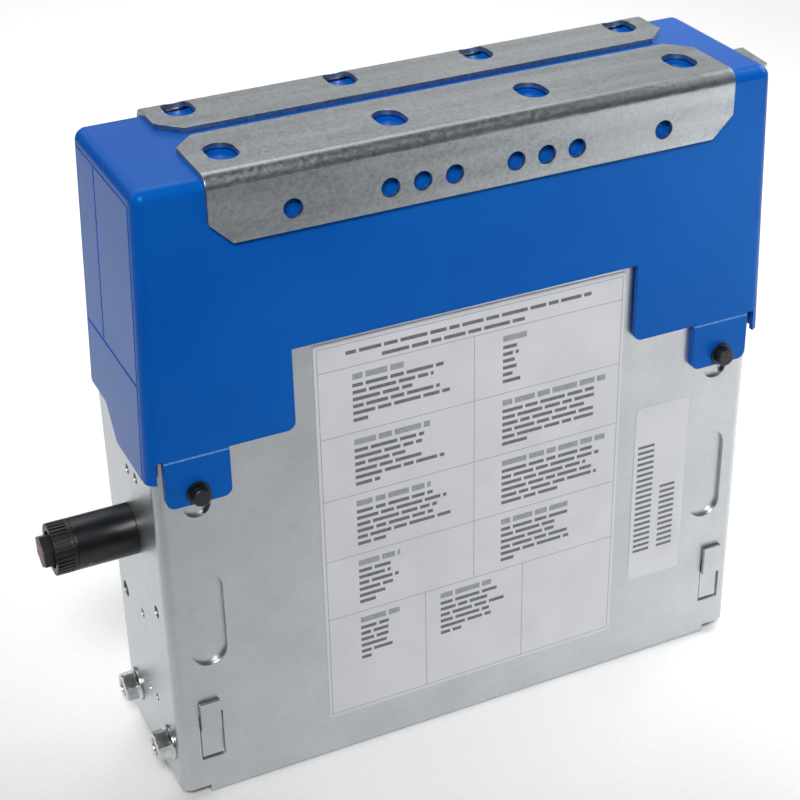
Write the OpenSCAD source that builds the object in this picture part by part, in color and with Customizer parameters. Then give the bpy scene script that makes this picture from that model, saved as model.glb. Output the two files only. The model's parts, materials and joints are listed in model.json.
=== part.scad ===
// Overspeed governor in a flat sheet-steel housing with a moulded cover.
// Two angles on top fasten it, a rope sheave with two centrifugal weights runs
// inside, and a plunger on the left wall resets the tripped switch.
// Millimetres. X runs to the right along the front, Y to the back, Z up.
// The origin is the middle of the housing's underside.

/* [Housing] */
// Width over the side walls
shell_w = 300; // [292:1:330]
// Depth from the front panel to the rear panel
shell_d = 73; // [71:0.5:90]
// Thickness of the shell sheet
sheet_t = 2; // [1.5:0.1:2.2]
// Outer radius of the folded upright edges
bend_r = 5; // [3.5:0.5:7]
// Outer radius of the folded bottom edge
foot_bend_r = 3.5; // [3:0.5:5]
// Height of the side walls
wall_top_z = 196; // [194:1:202]
// Height of the front panel behind the cover
panel_top_z = 264; // [242:1:277]
// Height of the cut-back bottom corners
relief_h = 5.5; // [3:0.5:8]
// Length of the cut-back bottom corners
relief_w = 13.5; // [10:0.5:20]
// Width of each rope slot in the underside
rope_slot_w = 16; // [12:1:20]

/* [Front openings] */
// Distance of rivets, keyholes and obrounds from the side wall
fix_inset = 18.5; // [17:0.5:22]
// Height of the push rivets
rivet_z = 171.5; // [170:0.5:173]
// Height of the keyhole circles
keyhole_z = 162.8; // [161:0.2:164]
// Diameter of the keyhole circles
keyhole_d = 12.4; // [10:0.2:14]
// Width of the obround openings
obround_w = 17; // [14:0.5:20]
// Height of the obround openings
obround_h = 50; // [40:1:60]
// Middle height of the obround openings
obround_z = 100.8; // [92:0.2:107]
// Distance of the left hook from the side wall
hook_left_inset = 16.2; // [14:0.2:20]
// Distance of the right hook from the side wall
hook_right_inset = 11.8; // [11:0.2:16]
// Width of a hook
hook_w = 9.8; // [8:0.2:10.2]
// Thickness of a hook
hook_t = 2; // [1.5:0.1:2.5]
// Height of the lower edge of a hook window
window_low_z = 22; // [18:0.1:26]
// Height of the upper edge of a hook window
window_high_z = 48; // [46:0.5:52]
// Width of a hook window
window_w = 11.4; // [11:0.1:13]
// Height of the step in a hook
hook_step_z = 40; // [36:0.5:42]
// Height of the tip of a hook
hook_tip_z = 56; // [52:0.5:60]

/* [Frame] */
// Thickness of the frame plates
plate_t = 2.5; // [2:0.1:3]
// Gap between the frame plates and the side walls
frame_low_gap = 3.5; // [3.5:0.25:5]
// Distance of the frame plates under the cover from the housing's sides
frame_high_inset = 12; // [11:0.5:15]
// Height of the lower edge of the frame plates
plate_foot_z = 8; // [6:0.5:11]
// Reach of the folded top flanges of the frame plates
top_flange_w = 30; // [28:0.5:32]
// Diameter of the frame spacers
spacer_d = 16; // [12:0.5:18]
// Distance of the spacers from the housing's sides
spacer_inset = 28; // [24:0.5:32]
// Height of the lower spacers
spacer_low_z = 20; // [18:0.5:26]
// Distance of the upper spacers below the cover's top
spacer_drop = 26; // [22:0.5:40]
// Diameter of the countersunk frame screws
frame_screw_d = 5; // [4:0.5:6]

/* [Side bolts] */
// Diameter of the side bolts
bolt_d = 8; // [6:1:10]
// Flange diameter of the side bolts
bolt_flange_d = 17; // [15:0.5:19]
// Width across flats of the side bolts
bolt_af = 13; // [10:0.5:14]
// Height of a side bolt's hexagon
bolt_hex_h = 7; // [5:0.5:8]
// Length of a side bolt under its head
bolt_len = 15; // [12:0.5:17]
// Height of the side bolts
bolt_z = 26.5; // [22:0.5:30]
// Distance of the front side bolt from the front panel
bolt_front_y = 14; // [12:0.5:20]
// Distance of the rear side bolt from the rear panel
bolt_rear_inset = 11.5; // [11:0.5:21]
// Width of the tie bar behind the side wall
bar_w = 17; // [15:0.5:17]
// Height of the tie bar
bar_h = 16; // [14:0.5:20]

/* [Sheave] */
// Distance of the sheave axis below the cover's top
axis_drop = 145; // [142:0.5:150]
// Distance of the rope from the housing's sides
rope_inset = 50; // [49:0.5:52]
// Diameter of the governor rope
rope_d = 6; // [5:0.5:8]
// Height of the rim above the middle of the rope
rim_h = 6; // [4:0.5:6]
// Depth of the rim below the middle of the rope
rim_depth = 12; // [10:0.5:16]
// Width of the rim
rim_w = 16; // [14:0.5:18]
// Thickness of the web
web_t = 6; // [5:0.5:8]
// Distance of the rope from the middle of the housing
rope_y = 9.5; // [8.5:0.5:10.5]
// Diameter of the hub
hub_d = 54; // [50:1:60]
// Diameter of the fixed shaft
shaft_d = 20; // [16:1:20]
// Diameter of the shaft ends in the frame plates
spigot_d = 14; // [10:1:15]
// Outer diameter of the bearings
bearing_d = 42; // [40:1:44]
// Width of the bearings
bearing_w = 12; // [10:0.5:12]
// Thickness of a bearing ring
race_t = 3; // [2.5:0.1:3.4]
// Distance between the two bearings
bearing_gap = 3; // [2:0.5:4]
// Distance of the circle of web holes from the rope
web_hole_inset = 34; // [32:0.5:38]
// Diameter of the web holes
web_hole_d = 26; // [20:1:30]

/* [Governor] */
// Thickness of the weights
weight_t = 10; // [8:0.5:10]
// Radial width of the weights
weight_w = 42; // [38:0.5:46]
// Angle that a weight spans
weight_span = 115; // [100:1:120]
// Distance of the weight pivots from the axis
pivot_r = 62; // [60:0.5:66]
// Diameter of the weight pivots
pivot_d = 10; // [8:0.5:12]
// Reach of a nose beyond its weight
nose_len = 7; // [6:0.5:9]
// Distance of a nose at rest from the ratchet teeth
nose_gap = 3.5; // [2.5:0.1:5]
// Width of the nose of a weight
nose_w = 6; // [5:0.5:7]
// Outward swing of the weights
swing_deg = 8; // [6:0.5:8]
// Length of the arm that carries the tie link
link_arm = 24; // [22:0.5:26]
// Width of the tie link
link_w = 12; // [11:0.5:14]
// Thickness of the tie link
link_t = 3; // [2:0.5:3]
// Diameter of the link pins
link_pin_d = 8; // [6:0.5:8]
// Distance of the spring from the axis
spring_x = 40; // [38:0.5:42]
// Height of the spring's anchor above the axis
spring_top = 47; // [44:0.5:50]
// Height of the spring's pin on the link above the axis
spring_low = 7; // [5:0.5:10]
// Height of the ratchet teeth
tooth_h = 6.5; // [6:0.1:8]
// Width of the ratchet ring behind its teeth
ring_land = 11; // [10.5:0.1:12]
// Distance of the ratchet ring from the housing's sides
ring_inset = 32; // [30:0.5:34]
// Thickness of the ratchet ring
ring_t = 4; // [3:0.5:5]

/* [Switches] */
// Width of a switch
switch_w = 16; // [14:0.5:16]
// Height of a switch
switch_h = 52; // [48:1:56]
// Depth of a switch
switch_d = 18; // [16:0.5:20]
// Distance of a roller's axis from the ratchet ring's edge
roller_inset = 8.5; // [7:0.5:10]
// Diameter of a roller
roller_d = 12; // [10:0.5:12]
// Width of a roller
roller_w = 3.2; // [2.5:0.1:4]
// Thickness of a lever
lever_t = 2; // [1.5:0.1:2.5]

/* [Reset plunger] */
// Distance of the plunger from the middle of the housing
reset_y = 5.5; // [3:0.5:7]
// Distance of the plunger below the sheave axis
reset_drop = 36.3; // [33:0.1:39]
// Diameter of the guide tube
tube_d = 24; // [22:0.5:28]
// Length of the guide tube
tube_len = 28; // [24:0.5:34]
// Length of the ribbed collar
collar_len = 9.8; // [9:0.2:16]
// Diameter of the threaded neck
neck_d = 16; // [14:0.5:18]
// Width across flats of the push head
head_af = 14; // [12:0.5:16]
// Length of the push head
head_len = 5; // [4:0.5:7]
// Diameter of the push rod
rod_d = 9; // [7:0.5:9]
// Travel of the push rod
push_travel = 5; // [3:0.5:5]

/* [Cover] */
// Height of the top of the cover
cover_top_z = 312; // [308:0.5:318]
// Wall thickness of the cover
cover_t = 2.5; // [2:0.1:3]
// Thickness of the cover's top
cover_top_t = 3.2; // [2.8:0.1:4]
// Outward taper of the cover's ends in degrees
draft = 2.35; // [1.5:0.05:3]
// Stand-off of the cover's front face from the panel
cover_proud = 3.5; // [3.2:0.1:5]
// Edge radius of the cover
cover_r = 5.5; // [4:0.5:8]
// Height of the lower edge of the cover's front legs
leg_z = 190; // [186:0.5:192]
// Height of the upper edge of the front window
window_z = 229; // [217:0.5:237]
// Width of the left front leg from the side wall
left_leg_w = 64.5; // [55:0.5:75]
// Width of the right front leg from the side wall
right_leg_w = 67; // [55:0.5:75]
// Width of the fixing tabs
tab_w = 29.6; // [26:0.2:32]
// Distance of the tabs from the side wall
tab_inset = 4.4; // [3.5:0.1:5]
// Height of the lower edge of the tabs
tab_z = 165.8; // [164:0.2:167]
// Height of the lower edge of the cover's ends
end_low_z = 179.5; // [174:0.5:184]
// Height of the lower edge of the cover's rear
rear_low_z = 193; // [188:0.5:196]
// Width of the grooves on the cover's ends
groove_w = 1.2; // [0.8:0.1:2]
// Depth of the grooves on the cover's ends
groove_d = 0.6; // [0.3:0.1:0.8]
// Height of the groove that crosses the end
groove_z = 225; // [217:0.5:237]

/* [Mounting angles] */
// Length of the angles
angle_len = 245; // [236:1:255]
// Thickness of the angles
angle_t = 2.5; // [2:0.1:4]
// Outer radius of the fold
angle_bend_r = 6; // [4:0.5:7]
// Shift of the angles to the right of the middle
angle_x = 4; // [0:0.5:6]
// Width of the front angle's top
front_angle_w = 44.2; // [42:0.2:46]
// Width of the rear angle's top
rear_angle_w = 33; // [31:0.5:36]
// Height of the angles' upright flanges
angle_h = 30.2; // [28:0.2:36]
// Size of the cut corners
angle_cut = 10; // [6:0.5:11]
// Distance of the outer slots from the angle's middle
slot_outer_x = 107.5; // [104:0.5:109]
// Distance of the inner slots from the angle's middle
slot_inner_x = 33.2; // [30:0.2:40]
// Width of the slots
slot_w = 13; // [12:0.5:15]
// Length of the slots
slot_len = 18; // [17:0.5:20]
// Distance from the front slots to the rear slots
slot_pitch = 51; // [50:0.5:52]
// Distance of the front slots from the middle of the housing
slot_front_y = 20; // [18:0.5:22]
// Diameter of the flange holes
flange_hole_d = 8.4; // [6:0.2:9]
// Height of the flange holes above the flange edge
flange_hole_up = 9.8; // [8:0.2:14]
// Distance of the outer flange holes from the angle's middle
flange_outer_x = 86.6; // [80:0.2:95]
// Distance of the hole groups from the angle's middle
flange_group_x = 29; // [26:0.2:34]
// Hole distance in a group
flange_pitch = 14.6; // [12:0.2:16]
// Distance of the studs from the angle's middle
stud_x = 70; // [60:0.5:75]
// Diameter of the studs
stud_d = 6; // [5:0.5:8]

/* [Labels] */
// Distance of the rating label from the housing's left side
label_left = 75; // [70:0.5:90]
// Distance of the rating label from the housing's right side
label_right = 71; // [70:0.5:90]
// Height of the lower edge of the rating label
label_z = 23; // [17:0.5:42]
// Height of the upper edge of the rating label
label_top_z = 226; // [212:0.5:228]
// Thickness of the labels
label_t = 0.25; // [0.2:0.05:0.4]
// Width of the narrow sticker
sticker_w = 29.5; // [20:0.5:30]
// Height of the narrow sticker
sticker_h = 100; // [80:1:105]
// Gap between the narrow sticker and the obround opening
sticker_gap = 5.05; // [5:0.05:8]
// Height of the upper edge of the narrow sticker
sticker_top_z = 150; // [132:0.5:152]

/* [Clearances] */
// Radial clearance of a running fit
run_clear = 0.05; // [0.03:0.01:0.08]
// Radial clearance of a pressed or screwed fit
seat_clear = 0.02; // [0.01:0.01:0.05]
// Radial clearance of a through hole
hole_clear = 0.3; // [0.2:0.05:0.5]
// Gap between parts that move past each other
move_gap = 0.3; // [0.25:0.05:0.5]
// Radial clearance of the tie link on its pins
link_clear = 0.1; // [0.08:0.01:0.1]

/* [Hidden] */
$fn = 64;

// Colours of the finishes
zinc = "gainsboro";
steel = "silver";
dark_steel = "dimgray";
iron = "slategray";
blue = "royalblue";
black = "#222222";
red = "firebrick";
white = "white";

// Planes of the housing
half_w = shell_w / 2;
half_d = shell_d / 2;
front_y = -half_d;
panel_in_y = front_y + sheet_t;
wall_in_x = half_w - sheet_t;
bay_front_y = panel_in_y + plate_t;
bay_rear_y = -bay_front_y;
rear_in_y = half_d - sheet_t;
bay_d = bay_rear_y - bay_front_y;
fix_x = half_w - fix_inset;
flange_half_w = half_w - relief_w;
low_half_w = wall_in_x - frame_low_gap;
high_half_w = half_w - frame_high_inset;
spacer_x = half_w - spacer_inset;
frame_top_z = cover_top_z - cover_top_t;
axis_z = cover_top_z - axis_drop;
reset_z = axis_z - reset_drop;
bolt_rear_y = shell_d - bolt_rear_inset;
spacer_high_z = cover_top_z - spacer_drop;
screw_reach = 12;
hook_shift = 0.5;
hook_root_z = window_low_z + 1.6;
small_screw_d = 4;

// Stack of the rotor along the shaft
pitch_r = half_w - rope_inset;
web_hole_r = pitch_r - web_hole_inset;
circlip_t = 1.5;
hub_lip = 1;
hub_half = bearing_gap / 2 + bearing_w + circlip_t + hub_lip;
hub_front_y = rope_y - hub_half;
web_front_y = rope_y - web_t / 2;
web_rear_y = rope_y + web_t / 2;
weight_rear_y = hub_front_y - 1.5;
weight_front_y = weight_rear_y - weight_t;
ring_front_y = weight_front_y;
ring_rear_y = ring_front_y + ring_t;
link_gap = 1;
link_rear_y = weight_front_y - link_gap;
link_front_y = link_rear_y - link_t;
spring_pin_tail = 2.5;
spring_y = link_front_y - spring_pin_tail;
sleeve_r = shaft_d / 2 + race_t;
boss_r = 14;
ear_r = 9;

// Circles of the ratchet ring, the noses and the weights
ring_r = half_w - ring_inset;
tooth_root_r = ring_r - ring_land;
tooth_tip_r = tooth_root_r - tooth_h;
nose_r = tooth_tip_r - nose_gap;
weight_r = nose_r - nose_len;
weight_in_r = weight_r - weight_w;
roller_cr = ring_r - roller_inset;

// The tie link stays upright: its pins sit half the swing above the pivots at rest
link_x = link_arm * cos(swing_deg / 2);
link_rise = link_arm * sin(swing_deg / 2);

// Where a nose enters the ratchet: the middle of its way past the tooth tips
ratchet_teeth = 24;
ratchet_gap_deg = 174.5;
standoff_r = (tooth_root_r + ring_r) / 2;
standoff_d = 9;

// Switch at the left, copied half a turn round the axis for the other direction
roller_front_y = ring_rear_y + 0.8;
roller_rear_y = roller_front_y + roller_w;
lever_front_y = roller_rear_y + 0.4;
lever_rear_y = lever_front_y + lever_t;
switch_front_y = lever_rear_y + 0.6;
switch_rear_y = switch_front_y + switch_d;
switch_right_x = -ring_r;
switch_left_x = switch_right_x - switch_w;
switch_mid_x = switch_right_x - switch_w / 2;
switch_low_z = reset_z - 38.7;
switch_top_z = switch_low_z + switch_h;
lever_x = switch_mid_x;
lever_z = switch_top_z - 8;
roller_deg = 187;
roller_x = roller_cr * cos(roller_deg);
roller_z = axis_z + roller_cr * sin(roller_deg);
lever_pin_r = 2.5;
roller_pin_r = 1.5;
switch_groove_up = 18;
switch_hole_zs = [switch_low_z + 7, switch_low_z + 29];

// Reset plunger along X at the left wall
tube_out_x = -half_w - tube_len;
collar_out_x = tube_out_x - collar_len;
neck_in_x = -half_w + 9;
nut_t = 5;
chamber_r = rod_d / 2 + 2.5;
chamber_x = -half_w - 8;
head_x = collar_out_x + 0.5;
rod_in_x = switch_left_x - move_gap - push_travel;
cap_r = 4.5;
reset_wire_r = 0.7;
reset_coil_r = rod_d / 2 + 0.5 + reset_wire_r;

// Cover
cover_half_d = half_d + cover_proud;
cover_gap = 0.25;
cover_half_top = half_w + cover_t + cover_gap - (cover_top_z - wall_top_z) * tan(draft);
function cover_half_at(z) = cover_half_top + (cover_top_z - z) * tan(draft);
cover_in_y = cover_half_d - cover_t;
strip_x = half_w - 1.2;
tab_mid_x = half_w - tab_inset - tab_w / 2;
hinge_z = leg_z - 0.8;
rivet_shank_r = 3;
rivet_flange_r = 5.5;
rivet_flange_t = 1.2;
rivet_head_r = 4.2;
rivet_head_h = 4.5;
pocket_d = 1.6;
end_slope_y = 1;

// Angles
angle_low_z = cover_top_z + angle_t - angle_h;
angle_top_z = cover_top_z + angle_t;
angle_face_y = cover_half_d + angle_t;
slot_rear_y = slot_pitch - slot_front_y;
slot_xs = [-slot_outer_x, -slot_inner_x, slot_inner_x, slot_outer_x];
flange_xs = concat(
    [-flange_outer_x, flange_outer_x],
    [for (s = [-1, 1], i = [-1, 0, 1]) s * flange_group_x + i * flange_pitch]
);
flange_hole_z = angle_low_z + flange_hole_up;
stud_front_y = -18;
stud_rear_y = 22;
stud_reach = 14;
stud_end_z = frame_top_z - stud_reach;
nut_h = 5;
nut_flange_t = 1;

// Clip at the right end
lug_t = 1.6;
lug_reach = 6;
lug_taper = 1.8;
lug_w = 22;
lug_drop = 3;
lug_leg_cut = 5;
lug_len = 48;
lug_y = front_y + 18.5;
lug_rivet_r = 2.4;
lug_rivet_ups = [12, 34];
ear_x = high_half_w + 7.2;
ear_low_z = cover_top_z - lug_len;
ear_top_z = cover_top_z - 10;

// Placing helpers
module xz_slab(y0, y1) translate([0, y1, 0]) rotate([90, 0, 0]) linear_extrude(y1 - y0) children();
module yz_slab(x0, x1) translate([x0, 0, 0]) rotate([90, 0, 90]) linear_extrude(x1 - x0) children();
module rod_x(x0, x1, y, z, r) translate([x0, y, z]) rotate([0, 90, 0]) cylinder(h = x1 - x0, r = r);
module rod_y(y0, y1, x, z, r) translate([x, y0, z]) rotate([-90, 0, 0]) cylinder(h = y1 - y0, r = r);
module rod_z(z0, z1, x, y, r) translate([x, y, z0]) cylinder(h = z1 - z0, r = r);
module box(lo, hi) translate(lo) cube(hi - lo);
module on_axis() translate([0, 0, axis_z]) children();
module half_turn() on_axis() rotate([0, 180, 0]) translate([0, 0, -axis_z]) children();
module turned(y0) translate([0, y0, axis_z]) rotate([-90, 0, 0]) rotate_extrude() children();

// Flat shapes
module rounded_2d(w, h, r) {
    translate([-w / 2 + r, -h / 2]) square([w - 2 * r, h]);
    translate([-w / 2, -h / 2 + r]) square([w, h - 2 * r]);
    for (sx = [-1, 1], sy = [-1, 1]) translate([sx * (w / 2 - r), sy * (h / 2 - r)]) circle(r);
}
module obround_2d(w, h) {
    square([w, h - w], center = true);
    for (s = [-1, 1]) translate([0, s * (h - w) / 2]) circle(w / 2);
}
module ring_2d(outer, inner) difference() {
    circle(outer);
    circle(inner);
}

// Countersunk screw along Y with its head at y0, pointing by side to the rear (1) or the front (-1)
module sunk_screw(x, y0, z, d, reach, side, clear = 0) {
    lead = side > 0 ? [-90, 0, 0] : [90, 0, 0];
    translate([x, y0, z]) rotate(lead) {
        cylinder(h = d / 2, r1 = d + clear, r2 = d / 2 + clear);
        cylinder(h = reach, r = d / 2 + clear);
    }
}

// Wire along a path of points, as one closed tube
module wire(path, r, sides) {
    last = len(path) - 1;
    function unit(v) = v / norm(v);
    function along(i) = unit(path[min(i + 1, last)] - path[max(i - 1, 0)]);
    side_axis = [0.12, 1, 0.17];
    function across(i) = unit(cross(along(i), side_axis));
    points = [
        for (i = [0 : last], k = [0 : sides - 1])
            path[i] + r * (cos(360 * k / sides) * across(i)
                + sin(360 * k / sides) * cross(along(i), across(i)))
    ];
    skins = [
        for (i = [0 : last - 1], k = [0 : sides - 1])
            let (n = (k + 1) % sides)
            [i * sides + k, i * sides + n, (i + 1) * sides + n, (i + 1) * sides + k]
    ];
    ends = [[for (k = [sides - 1 : -1 : 0]) k], [for (k = [0 : sides - 1]) last * sides + k]];
    polyhedron(points, concat(skins, ends), convexity = 6);
}

// Folded housing

module shell_plan_2d() difference() {
    union() {
        translate([-half_w, front_y + bend_r]) square([shell_w, shell_d - bend_r]);
        translate([-half_w + bend_r, front_y]) square([shell_w - 2 * bend_r, bend_r + sheet_t]);
        for (s = [-1, 1]) translate([s * (half_w - bend_r), front_y + bend_r]) circle(bend_r);
    }
    translate([-wall_in_x, front_y + bend_r]) square([2 * wall_in_x, shell_d]);
    translate([-half_w + bend_r, panel_in_y]) square([shell_w - 2 * bend_r, shell_d]);
    for (s = [-1, 1]) translate([s * (half_w - bend_r), front_y + bend_r]) circle(bend_r - sheet_t);
}

module foot_profile_2d() {
    translate([front_y + foot_bend_r, 0]) square([shell_d - foot_bend_r, sheet_t]);
    translate([front_y, foot_bend_r]) square([sheet_t, relief_h + sheet_t]);
    intersection() {
        translate([front_y + foot_bend_r, foot_bend_r]) ring_2d(foot_bend_r, foot_bend_r - sheet_t);
        translate([front_y, 0]) square(foot_bend_r);
    }
}

module front_openings_2d() {
    for (s = [-1, 1]) {
        translate([s * fix_x, keyhole_z]) circle(keyhole_d / 2);
        translate([s * fix_x, (keyhole_z + rivet_z) / 2])
            obround_2d(2 * rivet_shank_r + 1, rivet_z - keyhole_z + 2 * rivet_shank_r + 1);
        translate([s * fix_x, obround_z]) obround_2d(obround_w, obround_h);
    }
    for (x = [-half_w + hook_left_inset, half_w - hook_right_inset])
        translate([x - window_w / 2, window_low_z]) square([window_w, window_high_z - window_low_z]);
}

// Holes in the left wall as [distance from the front panel, height, diameter]
left_wall_holes = [
    [shell_d - 8.3, 81.8, 8], [39, 84.8, 4.4], [15.1, 101.7, 6],
    [39.5, 40.2, 4], [28.9, 42.3, 4.2], [38.4, 164.4, 5], [26.9, 166.1, 5]
];

module front_shell() color(zinc) difference() {
    union() {
        translate([0, 0, relief_h]) linear_extrude(wall_top_z - relief_h) shell_plan_2d();
        box([-high_half_w, front_y, wall_top_z - sheet_t], [high_half_w, panel_in_y, panel_top_z]);
        yz_slab(-flange_half_w, flange_half_w) foot_profile_2d();
    }
    for (s = [-1, 1])
        box([s * pitch_r - rope_slot_w / 2, rope_y - rope_slot_w / 2, -1],
            [s * pitch_r + rope_slot_w / 2, half_d + 1, sheet_t + 1]);
    xz_slab(front_y - 1, panel_in_y + 1) front_openings_2d();
    for (h = left_wall_holes) rod_x(-half_w - 1, -wall_in_x + 1, front_y + h[0], h[1], h[2] / 2);
    for (y = [bolt_front_y, bolt_rear_y])
        rod_x(-half_w - 1, -wall_in_x + 1, front_y + y, bolt_z, bolt_d / 2 + hole_clear);
    rod_x(-half_w - 1, -wall_in_x + 1, reset_y, reset_z, neck_d / 2 + seat_clear);
}

// Closing panel at the back, held by four pan-head screws
rear_screw_inset = 20;
rear_screw_x = half_w - rear_screw_inset;
rear_screw_zs = [42, 178];
rear_screw_tail = 4;
pan_head_h = 2.6;
pan_socket_d = 1.4;
rear_panel_drop = 6;
rear_panel_shoulder = 4;

module rear_panel() color(zinc) difference() {
    union() {
        box([-wall_in_x + move_gap, rear_in_y, relief_h],
            [wall_in_x - move_gap, half_d, wall_top_z - rear_panel_shoulder]);
        box([-high_half_w, rear_in_y, relief_h], [high_half_w, half_d, frame_top_z - rear_panel_drop]);
    }
    for (s = [-1, 1], z = rear_screw_zs)
        rod_y(rear_in_y - 1, half_d + 1, s * rear_screw_x, z, frame_screw_d / 2 + hole_clear);
}

module rear_panel_screws() color(steel) for (s = [-1, 1], z = rear_screw_zs) {
    rod_y(bay_rear_y - rear_screw_tail, half_d + pan_head_h / 4, s * rear_screw_x, z, frame_screw_d / 2);
    difference() {
        rod_y(half_d, half_d + pan_head_h, s * rear_screw_x, z, frame_screw_d * 0.9);
        rod_y(half_d + pan_head_h - pan_socket_d, half_d + pan_head_h + 1, s * rear_screw_x, z,
            frame_screw_d * 0.3, $fn = 6);
    }
}

// Frame of two plates, spacers and a tie bar

module plate_2d() {
    translate([-low_half_w, plate_foot_z]) square([2 * low_half_w, wall_top_z - plate_foot_z]);
    translate([-high_half_w, plate_foot_z]) square([2 * high_half_w, frame_top_z - plate_foot_z]);
}

bar_out_x = -wall_in_x;
bar_in_x = bar_out_x + bar_w;
spacer_points = [for (s = [-1, 1], z = [spacer_low_z, spacer_high_z]) [s * spacer_x, z]];
ring_points = [
    for (a = [45 : 90 : 315]) [standoff_r * cos(a), axis_z + standoff_r * sin(a)]
];

module hook(x) translate([x - hook_shift - hook_w / 2, 0, 0]) {
    in_y = front_y + 0.2;
    out_y = front_y - move_gap;
    box([0, in_y, hook_root_z], [hook_w, bay_front_y, hook_root_z + hook_t]);
    box([0, in_y, hook_root_z], [hook_w, in_y + hook_t, hook_step_z + hook_t]);
    box([0, out_y - hook_t, hook_step_z], [hook_w, in_y + hook_t, hook_step_z + hook_t]);
    box([0, out_y - hook_t, hook_step_z], [hook_w, out_y, hook_tip_z]);
}

module front_frame_plate() color(zinc) {
    difference() {
        union() {
            xz_slab(panel_in_y, bay_front_y) plate_2d();
            box([-high_half_w, panel_in_y, frame_top_z - plate_t],
                [high_half_w, panel_in_y + top_flange_w, frame_top_z]);
            box([high_half_w - 1, panel_in_y, ear_low_z], [ear_x, bay_front_y, ear_top_z]);
            box([ear_x - plate_t, panel_in_y, ear_low_z], [ear_x, lug_y + lug_w / 2, ear_top_z]);
        }
        rod_y(panel_in_y - 1, bay_front_y + 1, 0, axis_z, spigot_d / 2 + seat_clear);
        for (p = spacer_points)
            sunk_screw(p[0], panel_in_y, p[1], frame_screw_d, plate_t + 1, 1, seat_clear);
        for (p = ring_points)
            sunk_screw(p[0], panel_in_y, p[1], small_screw_d, plate_t + 1, 1, seat_clear);
        for (s = [-1, 1])
            rod_y(panel_in_y - 1, bay_front_y + 1, s * fix_x, rivet_z, rivet_shank_r + seat_clear);
        for (s = [-1, 1])
            rod_z(frame_top_z - plate_t - 1, frame_top_z + 1, angle_x + s * stud_x, stud_front_y,
                stud_d / 2 + hole_clear);
        for (up = lug_rivet_ups) lug_axis(up) cylinder(h = 20, r = lug_rivet_r + hole_clear, center = true);
        hook_cuts();
    }
    for (x = [-half_w + hook_left_inset, half_w - hook_right_inset]) hook(x);
}

// Openings left in the front plate above the root of each lanced hook
module hook_cuts() for (x = [-half_w + hook_left_inset, half_w - hook_right_inset])
    box([x - hook_shift - hook_w / 2, panel_in_y - 1, hook_root_z + hook_t],
        [x - hook_shift + hook_w / 2, bay_front_y + 1, hook_step_z + hook_t]);

module rear_frame_plate() color(zinc) difference() {
    union() {
        xz_slab(bay_rear_y, rear_in_y) plate_2d();
        box([-high_half_w, rear_in_y - top_flange_w, frame_top_z - plate_t],
            [high_half_w, rear_in_y, frame_top_z]);
    }
    rod_y(bay_rear_y - 1, rear_in_y + 1, 0, axis_z, spigot_d / 2 + seat_clear);
    for (p = spacer_points)
        sunk_screw(p[0], rear_in_y, p[1], frame_screw_d, plate_t + 1, -1, seat_clear);
    for (s = [-1, 1], z = rear_screw_zs)
        rod_y(bay_rear_y - 1, rear_in_y + 1, s * rear_screw_x, z, frame_screw_d / 2 + seat_clear);
    switch_standoff_points() sunk_screw(0, rear_in_y, 0, small_screw_d, plate_t + 1, -1, seat_clear);
    for (s = [-1, 1])
        rod_z(frame_top_z - plate_t - 1, frame_top_z + 1, angle_x + s * stud_x, stud_rear_y,
            stud_d / 2 + hole_clear);
}

module frame_spacers() color(steel) for (p = spacer_points) difference() {
    rod_y(bay_front_y, bay_rear_y, p[0], p[1], spacer_d / 2);
    rod_y(bay_front_y - 1, bay_rear_y + 1, p[0], p[1], frame_screw_d / 2 + seat_clear);
}

module frame_screws() color(steel) for (p = spacer_points) {
    sunk_screw(p[0], panel_in_y, p[1], frame_screw_d, screw_reach, 1);
    sunk_screw(p[0], rear_in_y, p[1], frame_screw_d, screw_reach, -1);
}

module tie_bar() color(steel) difference() {
    box([bar_out_x, bay_front_y, bolt_z - bar_h / 2], [bar_in_x, bay_rear_y, bolt_z + bar_h / 2]);
    for (y = [bolt_front_y, bolt_rear_y])
        rod_x(bar_out_x - 1, bar_in_x + 1, front_y + y, bolt_z, bolt_d / 2 + seat_clear);
}

// Hexagon bolts with a flange and a dished head
module side_bolts() color(steel) for (y = [bolt_front_y, bolt_rear_y])
    translate([-half_w, front_y + y, bolt_z]) rotate([0, -90, 0]) {
        translate([0, 0, -bolt_len]) cylinder(h = bolt_len + 1, r = bolt_d / 2);
        cylinder(h = 1, r = bolt_flange_d / 2);
        translate([0, 0, 1]) cylinder(h = 1.4, r1 = bolt_flange_d / 2, r2 = bolt_af / 2);
        difference() {
            intersection() {
                cylinder(h = 1 + bolt_hex_h, r = bolt_af / sqrt(3), $fn = 6);
                cylinder(h = 1 + bolt_hex_h, r1 = bolt_af / 2 + bolt_hex_h + 0.2, r2 = bolt_af / 2);
            }
            translate([0, 0, bolt_hex_h + 0.4]) cylinder(h = 1, r = bolt_af * 0.32);
        }
    }

// Fixed shaft, bearings and sheave

module sheave_shaft() color(steel) {
    rod_y(bay_front_y, bay_rear_y, 0, axis_z, shaft_d / 2);
    rod_y(panel_in_y, rear_in_y, 0, axis_z, spigot_d / 2);
}

front_bearing_y = rope_y - bearing_gap / 2 - bearing_w;
rear_bearing_y = rope_y + bearing_gap / 2;

module shaft_sleeves() color(steel)
    for (span = [[bay_front_y, front_bearing_y], [front_bearing_y + bearing_w, rear_bearing_y],
            [rear_bearing_y + bearing_w, bay_rear_y]])
        on_axis() xz_slab(span[0], span[1]) ring_2d(sleeve_r, shaft_d / 2 + seat_clear);

module bearing_inner_rings() color(steel) for (y = [front_bearing_y, rear_bearing_y])
    on_axis() xz_slab(y, y + bearing_w) ring_2d(sleeve_r, shaft_d / 2 + seat_clear);

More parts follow.
